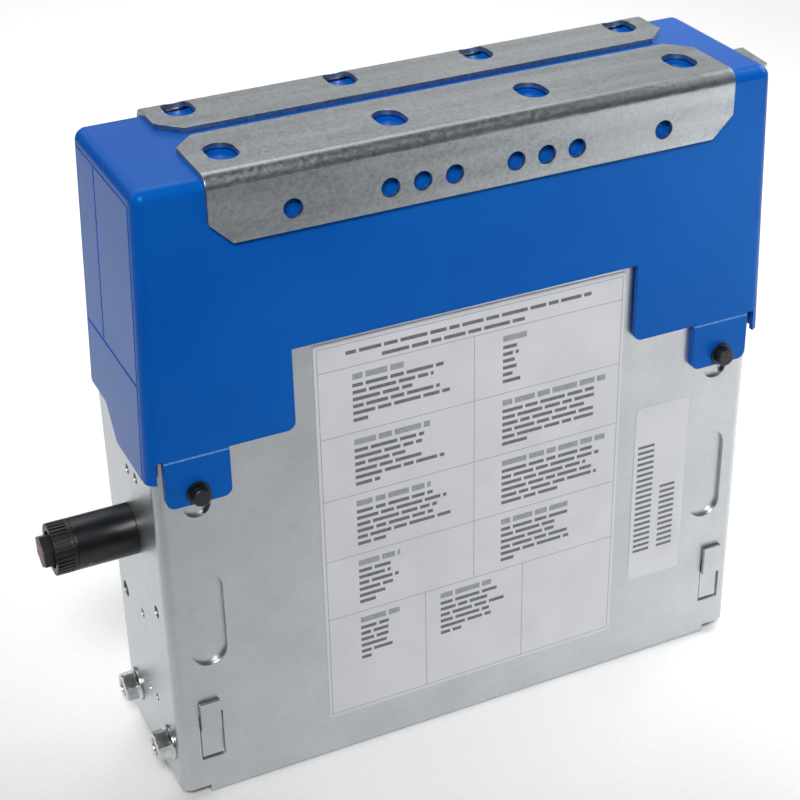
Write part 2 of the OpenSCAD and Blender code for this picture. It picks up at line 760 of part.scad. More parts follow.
module bearing_outer_rings() color(steel) for (y = [front_bearing_y, rear_bearing_y]) {
    on_axis() xz_slab(y, y + bearing_w) ring_2d(bearing_d / 2, bearing_d / 2 - race_t);
    for (shield_y = [y + 0.5, y + bearing_w - 1.5])
        on_axis() xz_slab(shield_y, shield_y + 1) ring_2d(bearing_d / 2 - 1, sleeve_r + run_clear);
}

ball_r = (bearing_d / 2 - race_t - sleeve_r) / 2 - run_clear;
ball_count = 8;

module bearing_balls() color(steel)
    for (y = [front_bearing_y, rear_bearing_y], i = [0 : ball_count - 1])
        on_axis() rotate([0, 360 * i / ball_count, 0])
            translate([sleeve_r + run_clear + ball_r, y + bearing_w / 2, 0]) sphere(ball_r);

module bearing_circlips() color(dark_steel)
    for (y = [front_bearing_y - circlip_t, rear_bearing_y + bearing_w])
        on_axis() xz_slab(y, y + circlip_t) difference() {
            ring_2d(bearing_d / 2 - seat_clear, bearing_d / 2 - race_t);
            translate([-3, -bearing_d / 2]) square([6, bearing_d / 2]);
        }

web_hole_degs = [20, 160, 200, 340];

module sheave() color(iron) difference() {
    turned(rope_y) difference() {
        union() {
            translate([pitch_r - rim_depth, -rim_w / 2]) square([rim_depth + rim_h, rim_w]);
            translate([hub_d / 2 - 1, -web_t / 2]) square([pitch_r - rim_depth - hub_d / 2 + 2, web_t]);
            translate([0, -hub_half]) square([hub_d / 2, 2 * hub_half]);
        }
        translate([pitch_r, 0]) circle(rope_d / 2 + 0.2);
        polygon([[pitch_r, -rope_d / 2 - 0.2], [pitch_r + rim_h + 1, -rim_w / 2 + 2],
            [pitch_r + rim_h + 1, rim_w / 2 - 2], [pitch_r, rope_d / 2 + 0.2]]);
        translate([0, -hub_half - 1]) square([bearing_d / 2 - race_t, 2 * hub_half + 2]);
        for (s = [-1, 1]) translate([0, s > 0 ? bearing_gap / 2 : -hub_half - 1])
            square([bearing_d / 2 + seat_clear, hub_half - bearing_gap / 2 + 1]);
    }
    on_axis() for (a = web_hole_degs)
        rod_y(web_front_y - 1, web_rear_y + 1, web_hole_r * cos(a), web_hole_r * sin(a), web_hole_d / 2);
    on_axis() for (s = [-1, 1])
        rod_y(web_front_y - 1, web_rear_y + 1, 0, s * pivot_r, pivot_d / 2 + seat_clear);
    on_axis() rod_y(web_front_y - 1, web_rear_y + 1, spring_x, spring_top, anchor_spigot_r + seat_clear);
}

// Weights, their pivots and the tie link

clip_r = pivot_d / 2 + 2.5;
clip_seat_r = pivot_d / 2 - 1;

module weight_pivots() color(steel) on_axis() for (s = [-1, 1]) {
    rod_y(weight_rear_y + move_gap, web_front_y, 0, s * pivot_r, pivot_d / 2 + 3);
    rod_y(weight_front_y - move_gap, web_rear_y, 0, s * pivot_r, pivot_d / 2);
    rod_y(weight_front_y - move_gap - circlip_t - 1, web_rear_y, 0, s * pivot_r, clip_seat_r);
}

module pivot_circlips() color(dark_steel) on_axis() for (s = [-1, 1]) difference() {
    rod_y(weight_front_y - move_gap - circlip_t, weight_front_y - move_gap, 0, s * pivot_r, clip_r);
    rod_y(weight_front_y - move_gap - circlip_t - 1, weight_front_y, 0, s * pivot_r,
        clip_seat_r + seat_clear);
    box([clip_seat_r / 2, weight_front_y - move_gap - circlip_t - 1, s * pivot_r - 2],
        [clip_r + 1, weight_front_y, s * pivot_r + 2]);
}

// Crescent from its pivot at the top round to the left, with the nose at mid height
module weight_2d() {
    intersection() {
        ring_2d(weight_r, weight_in_r);
        polygon(concat([[0, 0]],
            [for (i = [0 : 6]) let (a = 90 + weight_span * i / 6) 2 * weight_r * [cos(a), sin(a)]]));
    }
    translate([0, pivot_r]) circle(boss_r);
    translate([-nose_r, -nose_w / 2]) square([nose_r - weight_in_r - 4, nose_w]);
}

module flyweight_a() color(dark_steel) on_axis() xz_slab(weight_front_y, weight_rear_y) difference() {
    union() {
        weight_2d();
        translate([link_x, pivot_r + link_rise]) circle(ear_r);
        translate([0, pivot_r - ear_r + 2]) square([link_x, 2 * ear_r - 3]);
    }
    translate([0, pivot_r]) circle(pivot_d / 2 + run_clear);
    translate([link_x, pivot_r + link_rise]) circle(link_pin_d / 2 + seat_clear);
}

module flyweight_b() color(dark_steel) on_axis() xz_slab(weight_front_y, weight_rear_y) difference() {
    rotate(180) weight_2d();
    translate([0, -pivot_r]) circle(pivot_d / 2 + run_clear);
    translate([link_x, -pivot_r + link_rise]) circle(link_pin_d / 2 + seat_clear);
}

module link_pin(z) color(steel) on_axis() {
    rod_y(link_front_y - move_gap, weight_rear_y, link_x, z + link_rise, link_pin_d / 2);
    rod_y(link_front_y - move_gap - 1.5, link_front_y - move_gap, link_x, z + link_rise,
        link_pin_d / 2 + 2);
}
module link_pin_a() link_pin(pivot_r);
module link_pin_b() link_pin(-pivot_r);

link_lug_r = 4;
spring_pin_r = 2.2;
spring_wire_r = 0.8;
spring_coil_r = 4.2;
spring_hook_r = spring_pin_r + move_gap + spring_wire_r;
anchor_r = 5;
anchor_spigot_r = 3;

module tie_link() color(steel) on_axis() {
    xz_slab(link_front_y, link_rear_y) difference() {
        union() {
            translate([link_x, link_rise]) square([link_w, 2 * pivot_r], center = true);
            for (s = [-1, 1]) translate([link_x, s * pivot_r + link_rise]) circle(link_w / 2 + 1);
            translate([link_x, spring_low - link_lug_r]) square([spring_x - link_x, 2 * link_lug_r]);
            translate([spring_x, spring_low]) circle(link_lug_r);
        }
        for (s = [-1, 1]) translate([link_x, s * pivot_r + link_rise]) circle(link_pin_d / 2 + link_clear);
    }
    rod_y(spring_y - spring_pin_tail, link_rear_y, spring_x, spring_low, spring_pin_r);
}

module spring_anchor() color(steel) on_axis() {
    rod_y(spring_y + spring_pin_tail, web_front_y, spring_x, spring_top, anchor_r);
    rod_y(spring_y - spring_pin_tail, web_rear_y, spring_x, spring_top, spring_pin_r);
    rod_y(web_front_y - 1, web_rear_y, spring_x, spring_top, anchor_spigot_r);
    rod_y(spring_y - spring_pin_tail - 1, spring_y - spring_pin_tail, spring_x, spring_top,
        spring_pin_r + 1.5);
}

// Tension spring: an eye over each pin and a close coil between
coil_low = spring_low + spring_hook_r + 4;
coil_high = spring_top - spring_hook_r - 4;
coil_turns = 9;
spring_path = concat(
    [for (a = [-150 : 30 : 90]) [spring_hook_r * cos(a), 0, spring_low + spring_hook_r * sin(a)]],
    [for (i = [0 : 12 * coil_turns])
        [spring_coil_r * sin(30 * i), -spring_coil_r * cos(30 * i),
            coil_low + (coil_high - coil_low) * i / (12 * coil_turns)]],
    [for (a = [-90 : 30 : 150]) [spring_hook_r * cos(a), 0, spring_top + spring_hook_r * sin(a)]]
);

module governor_spring() color(steel) translate([spring_x, spring_y, axis_z])
    wire(spring_path, spring_wire_r, 8);

// Fixed ratchet ring round the weights

module ratchet_2d() difference() {
    ring_2d(ring_r, tooth_tip_r);
    for (i = [0 : ratchet_teeth - 1]) rotate(ratchet_gap_deg + 360 * i / ratchet_teeth) polygon([
        (tooth_tip_r - 1) * [cos(-6.6), sin(-6.6)], tooth_root_r * [cos(-5), sin(-5)],
        tooth_root_r * [cos(5), sin(5)], (tooth_tip_r - 1) * [cos(6.1), sin(6.1)]
    ]);
}

module ratchet_ring() color(steel) difference() {
    on_axis() xz_slab(ring_front_y, ring_rear_y) ratchet_2d();
    for (p = ring_points) sunk_screw(p[0], ring_rear_y, p[1], small_screw_d, ring_t + 1, -1, seat_clear);
}

module ring_standoffs() color(steel) for (p = ring_points) difference() {
    rod_y(bay_front_y, ring_front_y, p[0], p[1], standoff_d / 2);
    rod_y(bay_front_y - 1, ring_front_y + 1, p[0], p[1], small_screw_d / 2 + seat_clear);
}

module ring_screws() color(steel) for (p = ring_points) {
    half_bore = (ring_front_y - bay_front_y) / 2 - 0.5;
    sunk_screw(p[0], panel_in_y, p[1], small_screw_d, plate_t + half_bore, 1);
    sunk_screw(p[0], ring_rear_y, p[1], small_screw_d, ring_t + half_bore, -1);
}

// Switches with roller levers

module switch_body() difference() {
    union() {
        box([switch_left_x, switch_front_y, switch_low_z], [switch_right_x, switch_rear_y, switch_top_z]);
        rod_y(lever_front_y - move_gap, switch_front_y + 1, lever_x, lever_z, lever_pin_r);
        rod_y(lever_front_y - move_gap - 0.8, lever_front_y - move_gap, lever_x, lever_z, lever_pin_r + 1.5);
        rod_y(lever_rear_y + move_gap, switch_front_y + 1, lever_x, lever_z, lever_pin_r + 1.5);
    }
    for (z = switch_hole_zs)
        rod_y(switch_front_y - 1, switch_rear_y + 1, switch_mid_x, z, small_screw_d / 2 + hole_clear);
    for (x = [switch_left_x, switch_right_x])
        translate([x, (switch_front_y + switch_rear_y) / 2, switch_low_z + switch_groove_up])
            rotate([0, 45, 0]) cube([1.4, switch_d + 2, 1.4], center = true);
}

module lever_body() {
    reach = norm([roller_x - lever_x, roller_z - lever_z]);
    rise = atan2(roller_z - lever_z, roller_x - lever_x);
    xz_slab(lever_front_y, lever_rear_y) translate([lever_x, lever_z]) difference() {
        union() {
            circle(5);
            rotate(rise) translate([0, -3]) square([reach, 6]);
            rotate(rise) translate([reach, 0]) circle(4);
        }
        circle(lever_pin_r + run_clear);
    }
    rod_y(roller_front_y, lever_rear_y, roller_x, roller_z, roller_pin_r);
}

module roller_body() difference() {
    rod_y(roller_front_y, roller_rear_y, roller_x, roller_z, roller_d / 2);
    rod_y(roller_front_y - 1, roller_rear_y + 1, roller_x, roller_z, roller_pin_r + run_clear);
}

module overspeed_switch() color(black) switch_body();
module overspeed_lever() color(steel) lever_body();
module overspeed_roller() color(white) roller_body();
module upward_switch() color(black) half_turn() switch_body();
module upward_lever() color(steel) half_turn() lever_body();
module upward_roller() color(white) half_turn() roller_body();

// Repeats its child at the four fixing points of the switches
module switch_standoff_points() for (z = switch_hole_zs) {
    translate([switch_mid_x, 0, z]) children();
    translate([-switch_mid_x, 0, 2 * axis_z - z]) children();
}

module switch_standoffs() color(steel) switch_standoff_points() difference() {
    rod_y(switch_rear_y, bay_rear_y, 0, 0, small_screw_d);
    rod_y(switch_rear_y - 1, bay_rear_y + 1, 0, 0, small_screw_d / 2 + seat_clear);
}

module switch_screws() color(steel) switch_standoff_points() {
    rod_y(switch_front_y, switch_rear_y + 8, 0, 0, small_screw_d / 2);
    rod_y(switch_front_y - 2, switch_front_y, 0, 0, small_screw_d * 0.9);
    sunk_screw(0, rear_in_y, 0, small_screw_d, plate_t + 8, -1);
}

// Reset plunger on the left wall

module reset_tube() color(black) difference() {
    union() {
        rod_x(tube_out_x, -half_w, reset_y, reset_z, tube_d / 2);
        rod_x(-half_w - 1, neck_in_x, reset_y, reset_z, neck_d / 2);
    }
    rod_x(tube_out_x - 1, neck_in_x + 1, reset_y, reset_z, rod_d / 2 + run_clear);
    rod_x(tube_out_x - 1, chamber_x, reset_y, reset_z, chamber_r);
}

collar_ribs = 36;

module reset_collar() color(black) difference() {
    rod_x(collar_out_x, tube_out_x, reset_y, reset_z, tube_d / 2);
    rod_x(collar_out_x - 1, tube_out_x + 1, reset_y, reset_z, chamber_r);
    rod_x(collar_out_x - 1, head_x + push_travel + 1, reset_y, reset_z, head_af / sqrt(3) + 0.6);
    for (i = [0 : collar_ribs - 1]) translate([collar_out_x, reset_y, reset_z])
        rotate([360 * i / collar_ribs, 0, 0])
            box([-1, tube_d / 2 - 0.8, -0.45], [collar_len - 2, tube_d / 2 + 1, 0.45]);
}

module reset_locknut() color(black) difference() {
    translate([-wall_in_x, reset_y, reset_z]) rotate([0, 90, 0])
        cylinder(h = nut_t, r = neck_d * 0.8, $fn = 6);
    rod_x(-wall_in_x - 1, -wall_in_x + nut_t + 1, reset_y, reset_z, neck_d / 2 + seat_clear);
}

module reset_rod() color(black) difference() {
    union() {
        translate([head_x - head_len, reset_y, reset_z]) rotate([0, 90, 0])
            cylinder(h = head_len, r = head_af / sqrt(3), $fn = 6);
        rod_x(head_x - 1, neck_in_x + move_gap, reset_y, reset_z, rod_d / 2);
        rod_x(head_x - 1, rod_in_x, reset_y, reset_z, rod_d / 2 - 1);
    }
    rod_x(head_x - head_len - 1, head_x - head_len + 1, reset_y, reset_z, cap_r + seat_clear);
}

module reset_cap() color(red) rod_x(head_x - head_len - 0.2, head_x - head_len + 1, reset_y, reset_z, cap_r);

module reset_clip() color(steel) difference() {
    rod_x(neck_in_x + move_gap, neck_in_x + move_gap + 1, reset_y, reset_z, rod_d / 2 + 2);
    rod_x(neck_in_x, neck_in_x + 2, reset_y, reset_z, rod_d / 2 - 1 + seat_clear);
}

reset_turns = 7;
reset_spring_x0 = head_x + reset_wire_r + move_gap;
reset_spring_x1 = chamber_x - reset_wire_r - move_gap;
reset_path = [
    for (i = [0 : 16 * reset_turns]) let (a = 360 * i / 16)
        [reset_spring_x0 + (reset_spring_x1 - reset_spring_x0) * i / (16 * reset_turns),
            reset_coil_r * cos(a), reset_coil_r * sin(a)]
];

module reset_spring() color(steel) translate([0, reset_y, reset_z]) wire(reset_path, reset_wire_r, 8);

// Moulded cover

module cover_block(inset, top, foot) {
    r = cover_r - inset;
    flat_x = cover_half_top - inset - r;
    flat_y = cover_half_d - inset - r;
    hull() {
        box([-flat_x, -flat_y, top - r], [flat_x, flat_y, top]);
        for (sx = [-1, 1], sy = [-1, 1]) {
            translate([sx * flat_x, sy * flat_y, top - r]) sphere(r, $fn = 32);
            translate([sx * (cover_half_at(foot) - inset - r), sy * flat_y, foot])
                cylinder(h = 0.5, r = r, $fn = 32);
        }
    }
}

leg_corner_r = 4;
left_leg_x = -half_w + left_leg_w;
right_leg_x = half_w - right_leg_w;

module tab_2d() translate([0, (tab_z + leg_z + 6) / 2]) rounded_2d(tab_w, leg_z + 6 - tab_z, leg_corner_r);

module front_cut_2d() difference() {
    translate([-strip_x, tab_z - 2]) square([2 * strip_x, window_z - tab_z + 2]);
    translate([left_leg_x - half_w, leg_z + half_w]) rounded_2d(shell_w, shell_w, leg_corner_r);
    translate([right_leg_x + half_w, leg_z + half_w]) rounded_2d(shell_w, shell_w, leg_corner_r);
    for (s = [-1, 1]) translate([s * tab_mid_x, 0]) tab_2d();
}

module end_cut_2d() {
    rise = rear_low_z - end_low_z;
    polygon([[-cover_half_d - 5, tab_z - 2], [cover_half_d + 5, tab_z - 2], [cover_half_d + 5, rear_low_z],
        [end_slope_y + rise, rear_low_z], [end_slope_y, end_low_z], [-cover_half_d - 5, end_low_z]]);
}

// Local frame on a tapered end: x out of the face, z up along it, from the end's lower edge
module on_end(side) translate([side * cover_half_at(end_low_z), 0, end_low_z]) rotate([0, -side * draft, 0])
    mirror([side > 0 ? 0 : 1, 0, 0]) children();
module lug_axis(up) on_end(1) translate([0, lug_y, cover_top_z - end_low_z - lug_len + up]) rotate([0, 90, 0])
    children();

module end_grooves() {
    top_up = cover_top_z - cover_r - end_low_z - 1;
    cross_up = groove_z - end_low_z;
    front_at = -cover_half_d + cover_r + 1;
    rear_at = cover_half_d - 5;
    mid_at = cover_half_d - 29.2;
    for (y = [front_at, rear_at])
        box([-groove_d, y - groove_w / 2, -5], [1, y + groove_w / 2, top_up]);
    box([-groove_d, mid_at - groove_w / 2, cross_up], [1, mid_at + groove_w / 2, top_up]);
    for (up = [cross_up, top_up])
        box([-groove_d, front_at - groove_w / 2, up - groove_w / 2],
            [1, rear_at + groove_w / 2, up + groove_w / 2]);
}

module top_cover() color(blue) difference() {
    union() {
        difference() {
            cover_block(0, cover_top_z, tab_z - 1);
            cover_block(cover_t, frame_top_z, tab_z - 3);
            xz_slab(-cover_half_d - 1, -cover_half_d + cover_r + 1) front_cut_2d();
            yz_slab(-strip_x - 10, -strip_x + 1.5) end_cut_2d();
            yz_slab(strip_x - 1.5, strip_x + 10) end_cut_2d();
            box([-half_w - 10, cover_in_y - 4, tab_z - 3], [half_w + 10, cover_half_d + 1, rear_low_z]);
        }
        for (s = [-1, 1]) xz_slab(-cover_half_d, front_y) translate([s * tab_mid_x, 0]) tab_2d();
    }
    for (s = [-1, 1]) {
        box([s * tab_mid_x - tab_w / 2 - 1, -cover_half_d - 1, hinge_z - 0.4],
            [s * tab_mid_x + tab_w / 2 + 1, -cover_half_d + 0.5, hinge_z + 0.4]);
        rod_y(-cover_half_d - 1, front_y + 1, s * fix_x, rivet_z, rivet_shank_r + hole_clear);
        on_end(s) end_grooves();
    }
    for (x = slot_xs, y = [-slot_front_y, slot_rear_y]) translate([angle_x + x, y, cover_top_z - pocket_d])
        linear_extrude(pocket_d + 1) obround_2d(slot_w + 2, slot_len + 2);
    for (x = flange_xs)
        rod_y(-cover_half_d - 1, -cover_half_d + pocket_d, angle_x + x, flange_hole_z, flange_hole_d / 2 + 1);
    for (s = [-1, 1], y = [stud_front_y, stud_rear_y])
        rod_z(frame_top_z - 1, cover_top_z + 1, angle_x + s * stud_x, y, stud_d / 2 + hole_clear);
    for (up = lug_rivet_ups) lug_axis(up) cylinder(h = 20, r = lug_rivet_r + hole_clear, center = true);
}

// Push rivets through the tabs: a split body and its pin

module rivet_bodies() color(black) for (s = [-1, 1]) difference() {
    union() {
        rod_y(-cover_half_d - rivet_flange_t, -cover_half_d, s * fix_x, rivet_z, rivet_flange_r);
        rod_y(-cover_half_d - 0.5, bay_front_y + 3, s * fix_x, rivet_z, rivet_shank_r);
    }
    rod_y(-cover_half_d - 5, bay_front_y + 4, s * fix_x, rivet_z, rivet_shank_r / 2 + seat_clear);
}

module rivet_pins() color(black) for (s = [-1, 1]) {
    rod_y(-cover_half_d - rivet_flange_t - rivet_head_h, -cover_half_d - rivet_flange_t, s * fix_x, rivet_z,
        rivet_head_r);
    rod_y(-cover_half_d - rivet_flange_t - 1, bay_front_y + 2, s * fix_x, rivet_z, rivet_shank_r / 2);
}

// Mounting angles, folded, with cut corners, slots on top and holes in the front one's flange

module angle_profile_2d(w) {
    translate([-angle_face_y + angle_bend_r, cover_top_z]) square([w - angle_bend_r, angle_t]);
    translate([-angle_face_y, angle_low_z]) square([angle_t, angle_h - angle_bend_r]);
    intersection() {
        translate([-angle_face_y + angle_bend_r, angle_top_z - angle_bend_r])
            ring_2d(angle_bend_r, angle_bend_r - angle_t);
        translate([-angle_face_y, angle_top_z - angle_bend_r]) square(angle_bend_r);
    }
}

// Removes a 45 degree corner in the plane of the two axes given by the children's rotation
module corner_cut() rotate(45) square(angle_cut * sqrt(2), center = true);

module angle_blank(w) difference() {
    yz_slab(angle_x - angle_len / 2, angle_x + angle_len / 2) angle_profile_2d(w);
    for (s = [-1, 1]) {
        translate([angle_x + s * angle_len / 2, w - angle_face_y, cover_top_z - 1])
            linear_extrude(angle_t + 2) corner_cut();
        xz_slab(-angle_face_y - 1, -angle_face_y + angle_t + 1)
            translate([angle_x + s * angle_len / 2, angle_low_z]) corner_cut();
    }
}

module angle_slots(y) for (x = slot_xs) translate([angle_x + x, y, cover_top_z - 1])
    linear_extrude(angle_t + 2) obround_2d(slot_w, slot_len);

module front_angle() color(zinc) difference() {
    angle_blank(front_angle_w);
    angle_slots(-slot_front_y);
    for (x = flange_xs)
        rod_y(-angle_face_y - 1, -cover_half_d + 1, angle_x + x, flange_hole_z, flange_hole_d / 2);
}

module rear_angle() color(zinc) difference() {
    mirror([0, 1, 0]) angle_blank(rear_angle_w);
    angle_slots(slot_rear_y);
}

module stud_points() for (s = [-1, 1], y = [stud_front_y, stud_rear_y])
    translate([angle_x + s * stud_x, y, 0]) children();

module angle_studs() color(steel) stud_points() rod_z(stud_end_z, cover_top_z, 0, 0, stud_d / 2);

module angle_nuts() color(steel) stud_points() difference() {
    translate([0, 0, frame_top_z - plate_t - nut_h]) union() {
        cylinder(h = nut_h, r = stud_d * 0.95, $fn = 6);
        translate([0, 0, nut_h - nut_flange_t]) cylinder(h = nut_flange_t, r = stud_d * 1.1);
    }
    rod_z(stud_end_z, frame_top_z, 0, 0, stud_d / 2 + seat_clear);
}

// Clip riveted to the right end, folded outwards at its top

module end_lug() color(zinc) difference() {
    on_end(1) {
        top = cover_top_z - lug_drop - end_low_z;
        box([0, lug_y - lug_w / 2 + lug_leg_cut, top - lug_len], [lug_t, lug_y + lug_w / 2, top]);
        translate([0, lug_y, top - lug_t]) linear_extrude(lug_t) polygon([
            [0, -lug_w / 2], [lug_reach - lug_taper, -lug_w / 2], [lug_reach, lug_w / 2], [0, lug_w / 2]
        ]);
    }
    for (up = lug_rivet_ups) lug_axis(up) cylinder(h = 20, r = lug_rivet_r + seat_clear, center = true);
}

module end_lug_rivets() color(steel) for (up = lug_rivet_ups) lug_axis(up) {
    translate([0, 0, lug_t]) cylinder(h = 1.4, r1 = lug_rivet_r * 2, r2 = lug_rivet_r * 1.3);
    translate([0, 0, -12]) cylinder(h = 12 + lug_t + 1, r = lug_rivet_r);
}

// Printed labels on the front panel

module label_plate(x, w, z0, z1) xz_slab(front_y - label_t, front_y)
    translate([x, (z0 + z1) / 2]) rounded_2d(w, z1 - z0, 1.5);

label_w = shell_w - label_left - label_right;
label_x = (label_left - label_right) / 2;
sticker_x = fix_x - obround_w / 2 - sticker_gap - sticker_w / 2;

module rating_label() color(white) label_plate(label_x, label_w, label_z, label_top_z);
module narrow_sticker() color(white)
    label_plate(sticker_x, sticker_w, sticker_top_z - sticker_h, sticker_top_z);

front_shell();
rear_panel();
rear_panel_screws();
front_frame_plate();
rear_frame_plate();
frame_spacers();
frame_screws();
tie_bar();
side_bolts();
sheave_shaft();
shaft_sleeves();
bearing_inner_rings();
bearing_outer_rings();
bearing_balls();
bearing_circlips();
sheave();
weight_pivots();
pivot_circlips();
flyweight_a();
flyweight_b();
link_pin_a();
link_pin_b();
tie_link();
spring_anchor();
governor_spring();
ratchet_ring();
ring_standoffs();
ring_screws();
overspeed_switch();
overspeed_lever();
overspeed_roller();
upward_switch();
upward_lever();
upward_roller();
switch_standoffs();
switch_screws();
reset_tube();
reset_collar();
reset_locknut();
reset_rod();
reset_cap();
reset_clip();
reset_spring();
top_cover();
rivet_bodies();
rivet_pins();
front_angle();
rear_angle();
angle_studs();
angle_nuts();
end_lug();
end_lug_rivets();
rating_label();
narrow_sticker();
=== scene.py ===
import json
import math

import bmesh
import bpy
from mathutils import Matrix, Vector

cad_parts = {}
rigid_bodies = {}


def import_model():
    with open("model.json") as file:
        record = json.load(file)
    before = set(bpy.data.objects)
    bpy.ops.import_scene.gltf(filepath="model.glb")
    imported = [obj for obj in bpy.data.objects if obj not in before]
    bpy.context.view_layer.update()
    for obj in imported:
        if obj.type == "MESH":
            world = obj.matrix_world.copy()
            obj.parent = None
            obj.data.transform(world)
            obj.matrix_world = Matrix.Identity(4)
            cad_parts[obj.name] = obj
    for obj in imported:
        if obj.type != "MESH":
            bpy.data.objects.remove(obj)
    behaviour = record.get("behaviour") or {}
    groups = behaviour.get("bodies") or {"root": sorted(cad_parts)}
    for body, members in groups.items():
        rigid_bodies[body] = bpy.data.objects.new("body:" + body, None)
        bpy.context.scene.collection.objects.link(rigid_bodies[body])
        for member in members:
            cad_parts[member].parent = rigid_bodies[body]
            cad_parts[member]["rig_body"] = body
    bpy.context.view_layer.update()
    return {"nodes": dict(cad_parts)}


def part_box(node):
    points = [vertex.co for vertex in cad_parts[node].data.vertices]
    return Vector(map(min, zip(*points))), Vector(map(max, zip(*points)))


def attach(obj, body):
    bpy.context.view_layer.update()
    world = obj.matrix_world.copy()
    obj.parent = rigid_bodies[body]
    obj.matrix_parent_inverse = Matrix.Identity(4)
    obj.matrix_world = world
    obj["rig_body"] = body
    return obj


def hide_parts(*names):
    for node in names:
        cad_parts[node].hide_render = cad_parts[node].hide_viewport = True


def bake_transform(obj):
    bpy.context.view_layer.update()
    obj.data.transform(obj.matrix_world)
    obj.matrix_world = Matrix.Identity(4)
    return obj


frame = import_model()


# Frame plates
# Two sheets of continuously galvanised steel, cut and folded over at the top, which carry
# everything inside. The front one's two lanced hooks come out through the housing.

MM = 0.001


def linear(code):
    """An sRGB hex colour as linear red, green, blue and alpha."""
    parts = [int(code[i:i + 2], 16) / 255 for i in (1, 3, 5)]
    return [c / 12.92 if c <= 0.04045 else ((c + 0.055) / 1.055) ** 2.4 for c in parts] + [1.0]


def add_node(tree, kind, settings, links={}):
    """Adds a node with settings (properties, inputs' values or a ramp's stops) and links (inputs'
    sources)."""
    node = tree.nodes.new(kind)
    for key, value in settings.items():
        if key == "stops":
            for stop in value[2:]:
                node.color_ramp.elements.new(stop[0])
            for element, (place, colour) in zip(node.color_ramp.elements, value):
                element.position, element.color = place, linear(colour)
        elif isinstance(key, str) and hasattr(node, key):
            setattr(node, key, value)
        else:
            node.inputs[key].default_value = value
    for key, source in links.items():
        tree.links.new(source, node.inputs[key])
    return node


def new_finish(name, **settings):
    """A material, its tree, its shader with some inputs set, and the surface point in metres."""
    finish = bpy.data.materials.new(name)
    finish.use_nodes = True
    tree = finish.node_tree
    shader = tree.nodes["Principled BSDF"]
    for key, value in settings.items():
        shader.inputs[key.replace("_", " ").title().replace("Ior", "IOR")].default_value = value
    return finish, tree, shader, add_node(tree, "ShaderNodeTexCoord", {}).outputs["Object"]


def scale_of(size_mm):
    """The scale of a texture whose features are this many millimetres wide."""
    return 1 / (size_mm * MM)


def coat(finish, *names):
    """Gives CAD nodes that are shown as they are their finish."""
    for name in names:
        mesh = frame["nodes"][name].data
        mesh.materials.clear()
        mesh.materials.append(finish)


# Corners closer than SAME_MM are one corner, faces that meet under FLAT_DEG are one face, edges
# over SHARP_DEG are rounded, and what then meets under SMOOTH_DEG is shaded as one surface
SAME_MM = 0.002
FLAT_DEG, SHARP_DEG, SMOOTH_DEG = 0.4, 28, 40


def with_broken_edges(name, finish, width_mm, steps=2):
    """A copy of a CAD node with its sharp edges rounded over, shown in the node's place."""
    node = frame["nodes"][name]
    shape = bmesh.new()
    shape.from_mesh(node.data)
    bmesh.ops.remove_doubles(shape, verts=shape.verts, dist=SAME_MM * MM)
    bmesh.ops.dissolve_limit(shape, angle_limit=math.radians(FLAT_DEG), verts=shape.verts,
        edges=shape.edges)
    # A step lower than the rounding is left as it is
    sharp = [e for e in shape.edges
        if e.is_manifold and e.calc_face_angle() > math.radians(SHARP_DEG)
        and min(f.calc_area() for f in e.link_faces) > e.calc_length() * width_mm * MM]
    bmesh.ops.bevel(shape, geom=sharp, offset=width_mm * MM, segments=steps, profile=0.5,
        affect="EDGES", clamp_overlap=False)
    mesh = bpy.data.meshes.new(name + "_finished")
    shape.to_mesh(mesh)
    shape.free()
    if "custom_normal" in mesh.attributes:
        mesh.attributes.remove(mesh.attributes["custom_normal"])
    mesh.materials.append(finish)
    mesh.shade_smooth()
    mesh.set_sharp_from_angle(angle=math.radians(SMOOTH_DEG))
    piece = bpy.data.objects.new(name + "_finished", mesh)
    bpy.context.scene.collection.objects.link(piece)
    evened = piece.modifiers.new("even_normals", "WEIGHTED_NORMAL")
    evened.keep_sharp = True
    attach(piece, node["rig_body"])
    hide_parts(name)


# Skin-passed galvanised sheet: a satin grey that is nearly even, with a faint spangle,
# broad smudges from handling, and a fine rolled grain.
sheet, tree, shader, point = new_finish("galvanised_sheet", metallic=1.0)
spangle = add_node(tree, "ShaderNodeTexVoronoi", {"Scale": scale_of(9)}, {"Vector": point})
smudge = add_node(tree, "ShaderNodeTexNoise",
    {"Scale": scale_of(38), "Detail": 5.0, "Roughness": 0.6}, {"Vector": point})
# The real grain is finer than a tenth of a millimetre; it is drawn coarser so that it shows
grain = add_node(tree, "ShaderNodeTexNoise", {"Scale": scale_of(1.1), "Detail": 3.0},
    {"Vector": point})
mottle = add_node(tree, "ShaderNodeMath", {"operation": "MULTIPLY", 1: 0.05},
    {0: spangle.outputs["Color"]})
cloud = add_node(tree, "ShaderNodeMath", {"operation": "MULTIPLY_ADD", 1: 0.6},
    {0: smudge.outputs["Fac"], 2: mottle.outputs[0]})
tone = add_node(tree, "ShaderNodeMath", {"operation": "MULTIPLY_ADD", 1: 0.28},
    {0: grain.outputs["Fac"], 2: cloud.outputs[0]})
colour = add_node(tree, "ShaderNodeValToRGB", {"stops": [(0.3, "#b7bbbe"), (0.66, "#cdd1d3")]},
    {"Fac": tone.outputs[0]})
satin = add_node(tree, "ShaderNodeMapRange",
    {"From Min": 0.3, "From Max": 0.7, "To Min": 0.31, "To Max": 0.41},
    {"Value": smudge.outputs["Fac"]})
relief = add_node(tree, "ShaderNodeBump", {"Strength": 0.25, "Distance": 0.03 * MM},
    {"Height": grain.outputs["Fac"]})
tree.links.new(colour.outputs[0], shader.inputs["Base Color"])
tree.links.new(satin.outputs[0], shader.inputs["Roughness"])
tree.links.new(relief.outputs[0], shader.inputs["Normal"])

